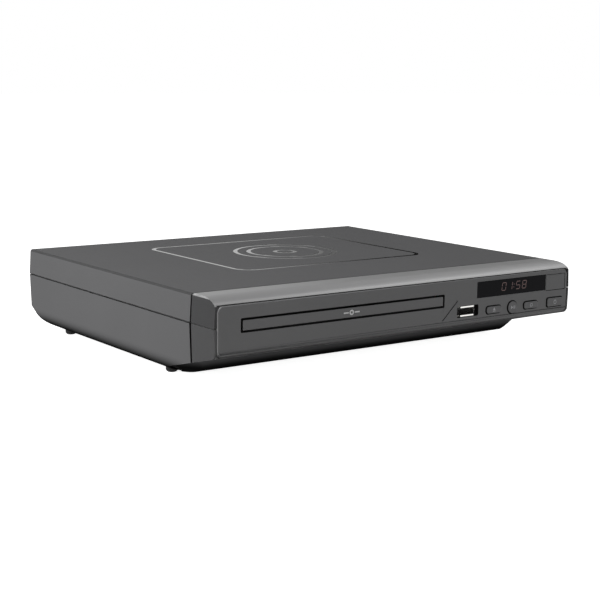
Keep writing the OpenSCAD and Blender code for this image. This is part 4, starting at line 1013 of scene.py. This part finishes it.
def soft_lamp(name, place, target, size, power):
    """A square soft lamp that faces a point."""
    data = bpy.data.lights.new(name, "AREA")
    data.energy = power
    data.size = size
    lamp = bpy.data.objects.new(name, data)
    bpy.context.scene.collection.objects.link(lamp)
    lamp.location = place
    lamp.rotation_euler = facing(place, target)


def stage_node(tree, kind, **values):
    """A node of a stage material, with values for its sockets."""
    node = tree.nodes.new(kind)
    for name, value in values.items():
        node.inputs[name.replace("_", " ")].default_value = value
    return node


def seen_rays(tree):
    """1 for rays from the camera and for what is mirrored or seen through glass."""
    rays = tree.nodes.new("ShaderNodeLightPath")
    total = rays.outputs["Is Camera Ray"]
    for name in ("Is Glossy Ray", "Is Transmission Ray"):
        join = tree.nodes.new("ShaderNodeMath")
        join.operation = "MAXIMUM"
        tree.links.new(total, join.inputs[0])
        tree.links.new(rays.outputs[name], join.inputs[1])
        total = join.outputs[0]
    return total


def blend_by(tree, factor, first, second, output):
    """Sends a blend of two shaders to a material's or a world's output node."""
    mix = tree.nodes.new("ShaderNodeMixShader")
    out = tree.nodes.new(output)
    tree.links.new(factor, mix.inputs[0])
    tree.links.new(first.outputs[0], mix.inputs[1])
    tree.links.new(second.outputs[0], mix.inputs[2])
    tree.links.new(mix.outputs[0], out.inputs["Surface"])


def cleared_tree(owner):
    """The empty node tree of a new material or world."""
    owner.use_nodes = True
    owner.node_tree.nodes.clear()
    return owner.node_tree


def floor_paper():
    """White paper to the eye, which keeps shadows, and a dark table to the light."""
    paper = bpy.data.materials.new("floor_paper")
    tree = cleared_tree(paper)
    table = stage_node(tree, "ShaderNodeBsdfDiffuse", Color=(0.12, 0.12, 0.12, 1))
    white = stage_node(tree, "ShaderNodeBsdfDiffuse", Color=(0.9, 0.9, 0.9, 1))
    glow = stage_node(tree, "ShaderNodeEmission", Color=WHITE, Strength=0.9)
    both = tree.nodes.new("ShaderNodeAddShader")
    tree.links.new(white.outputs[0], both.inputs[0])
    tree.links.new(glow.outputs[0], both.inputs[1])
    blend_by(tree, seen_rays(tree), table, both, "ShaderNodeOutputMaterial")
    return paper


def surround():
    """A white room, dimmer as a lamp than it looks."""
    world = bpy.data.worlds.new("surround")
    bpy.context.scene.world = world
    tree = cleared_tree(world)
    lit = stage_node(tree, "ShaderNodeBackground", Color=WHITE, Strength=0.2)
    seen = stage_node(tree, "ShaderNodeBackground", Color=WHITE, Strength=1.0)
    blend_by(tree, seen_rays(tree), lit, seen, "ShaderNodeOutputWorld")


def card_black():
    """Black paper that fades out towards the card's left edge."""
    paper = bpy.data.materials.new("black_card")
    tree = cleared_tree(paper)
    clear = tree.nodes.new("ShaderNodeBsdfTransparent")
    black = stage_node(tree, "ShaderNodeBsdfDiffuse", Color=(0.01, 0.01, 0.01, 1))
    where = tree.nodes.new("ShaderNodeTexCoord")
    parts = tree.nodes.new("ShaderNodeSeparateXYZ")
    fade = stage_node(tree, "ShaderNodeMapRange", From_Min=-1.0, From_Max=-0.65)
    fade.interpolation_type = "SMOOTHSTEP"
    tree.links.new(where.outputs["Object"], parts.inputs[0])
    tree.links.new(parts.outputs[0], fade.inputs["Value"])
    blend_by(tree, fade.outputs[0], clear, black, "ShaderNodeOutputMaterial")
    return paper


def dark_card():
    """A low black card at the back right, which only mirrored light meets."""
    width, height, rise = 2.0, 0.52, 0.27
    bearing, slant = math.radians(35.4), math.radians(55)
    distance, to_middle = 2.5, 0.85
    corner = Vector((EYE.x + distance * math.sin(bearing), EYE.y + distance * math.cos(bearing), rise))
    along = Vector((math.cos(slant), -math.sin(slant), 0))
    place = corner + along * to_middle
    only()
    bpy.ops.mesh.primitive_plane_add(size=1.0, location=(0, 0, 0))
    card = bpy.context.object
    card.scale = (width, height, 1)
    card = named("black_card")
    card.location = place
    card.rotation_euler = facing(place, place - Vector((along.y, -along.x, 0)))
    card.data.materials.append(card_black())
    for kind in ("camera", "diffuse", "shadow", "transmission"):
        setattr(card, "visible_" + kind, False)


def studio():
    """A pale floor, a white surround, a black card and three soft lamps."""
    only()
    bpy.ops.mesh.primitive_plane_add(size=12.0, location=(0, 0, 0))
    floor = named("floor")
    floor.data.materials.append(floor_paper())
    surround()
    dark_card()
    soft_lamp("side_lamp", (-0.65, 0.05, 0.3), (0, 0, 0.02), 0.4, 4.7)
    soft_lamp("front_lamp", (-0.1, -1.2, 0.3), (0, -0.1, 0.03), 0.5, 6.3)
    soft_lamp("back_lamp", (0.79, 0.04, 0.95), (0, -0.1, 0.03), 0.5, 2.6)


case_parts()
front_parts()
tray_parts()
plain_nodes()
camera()
studio()
bpy.context.scene.view_settings.view_transform = "Standard"
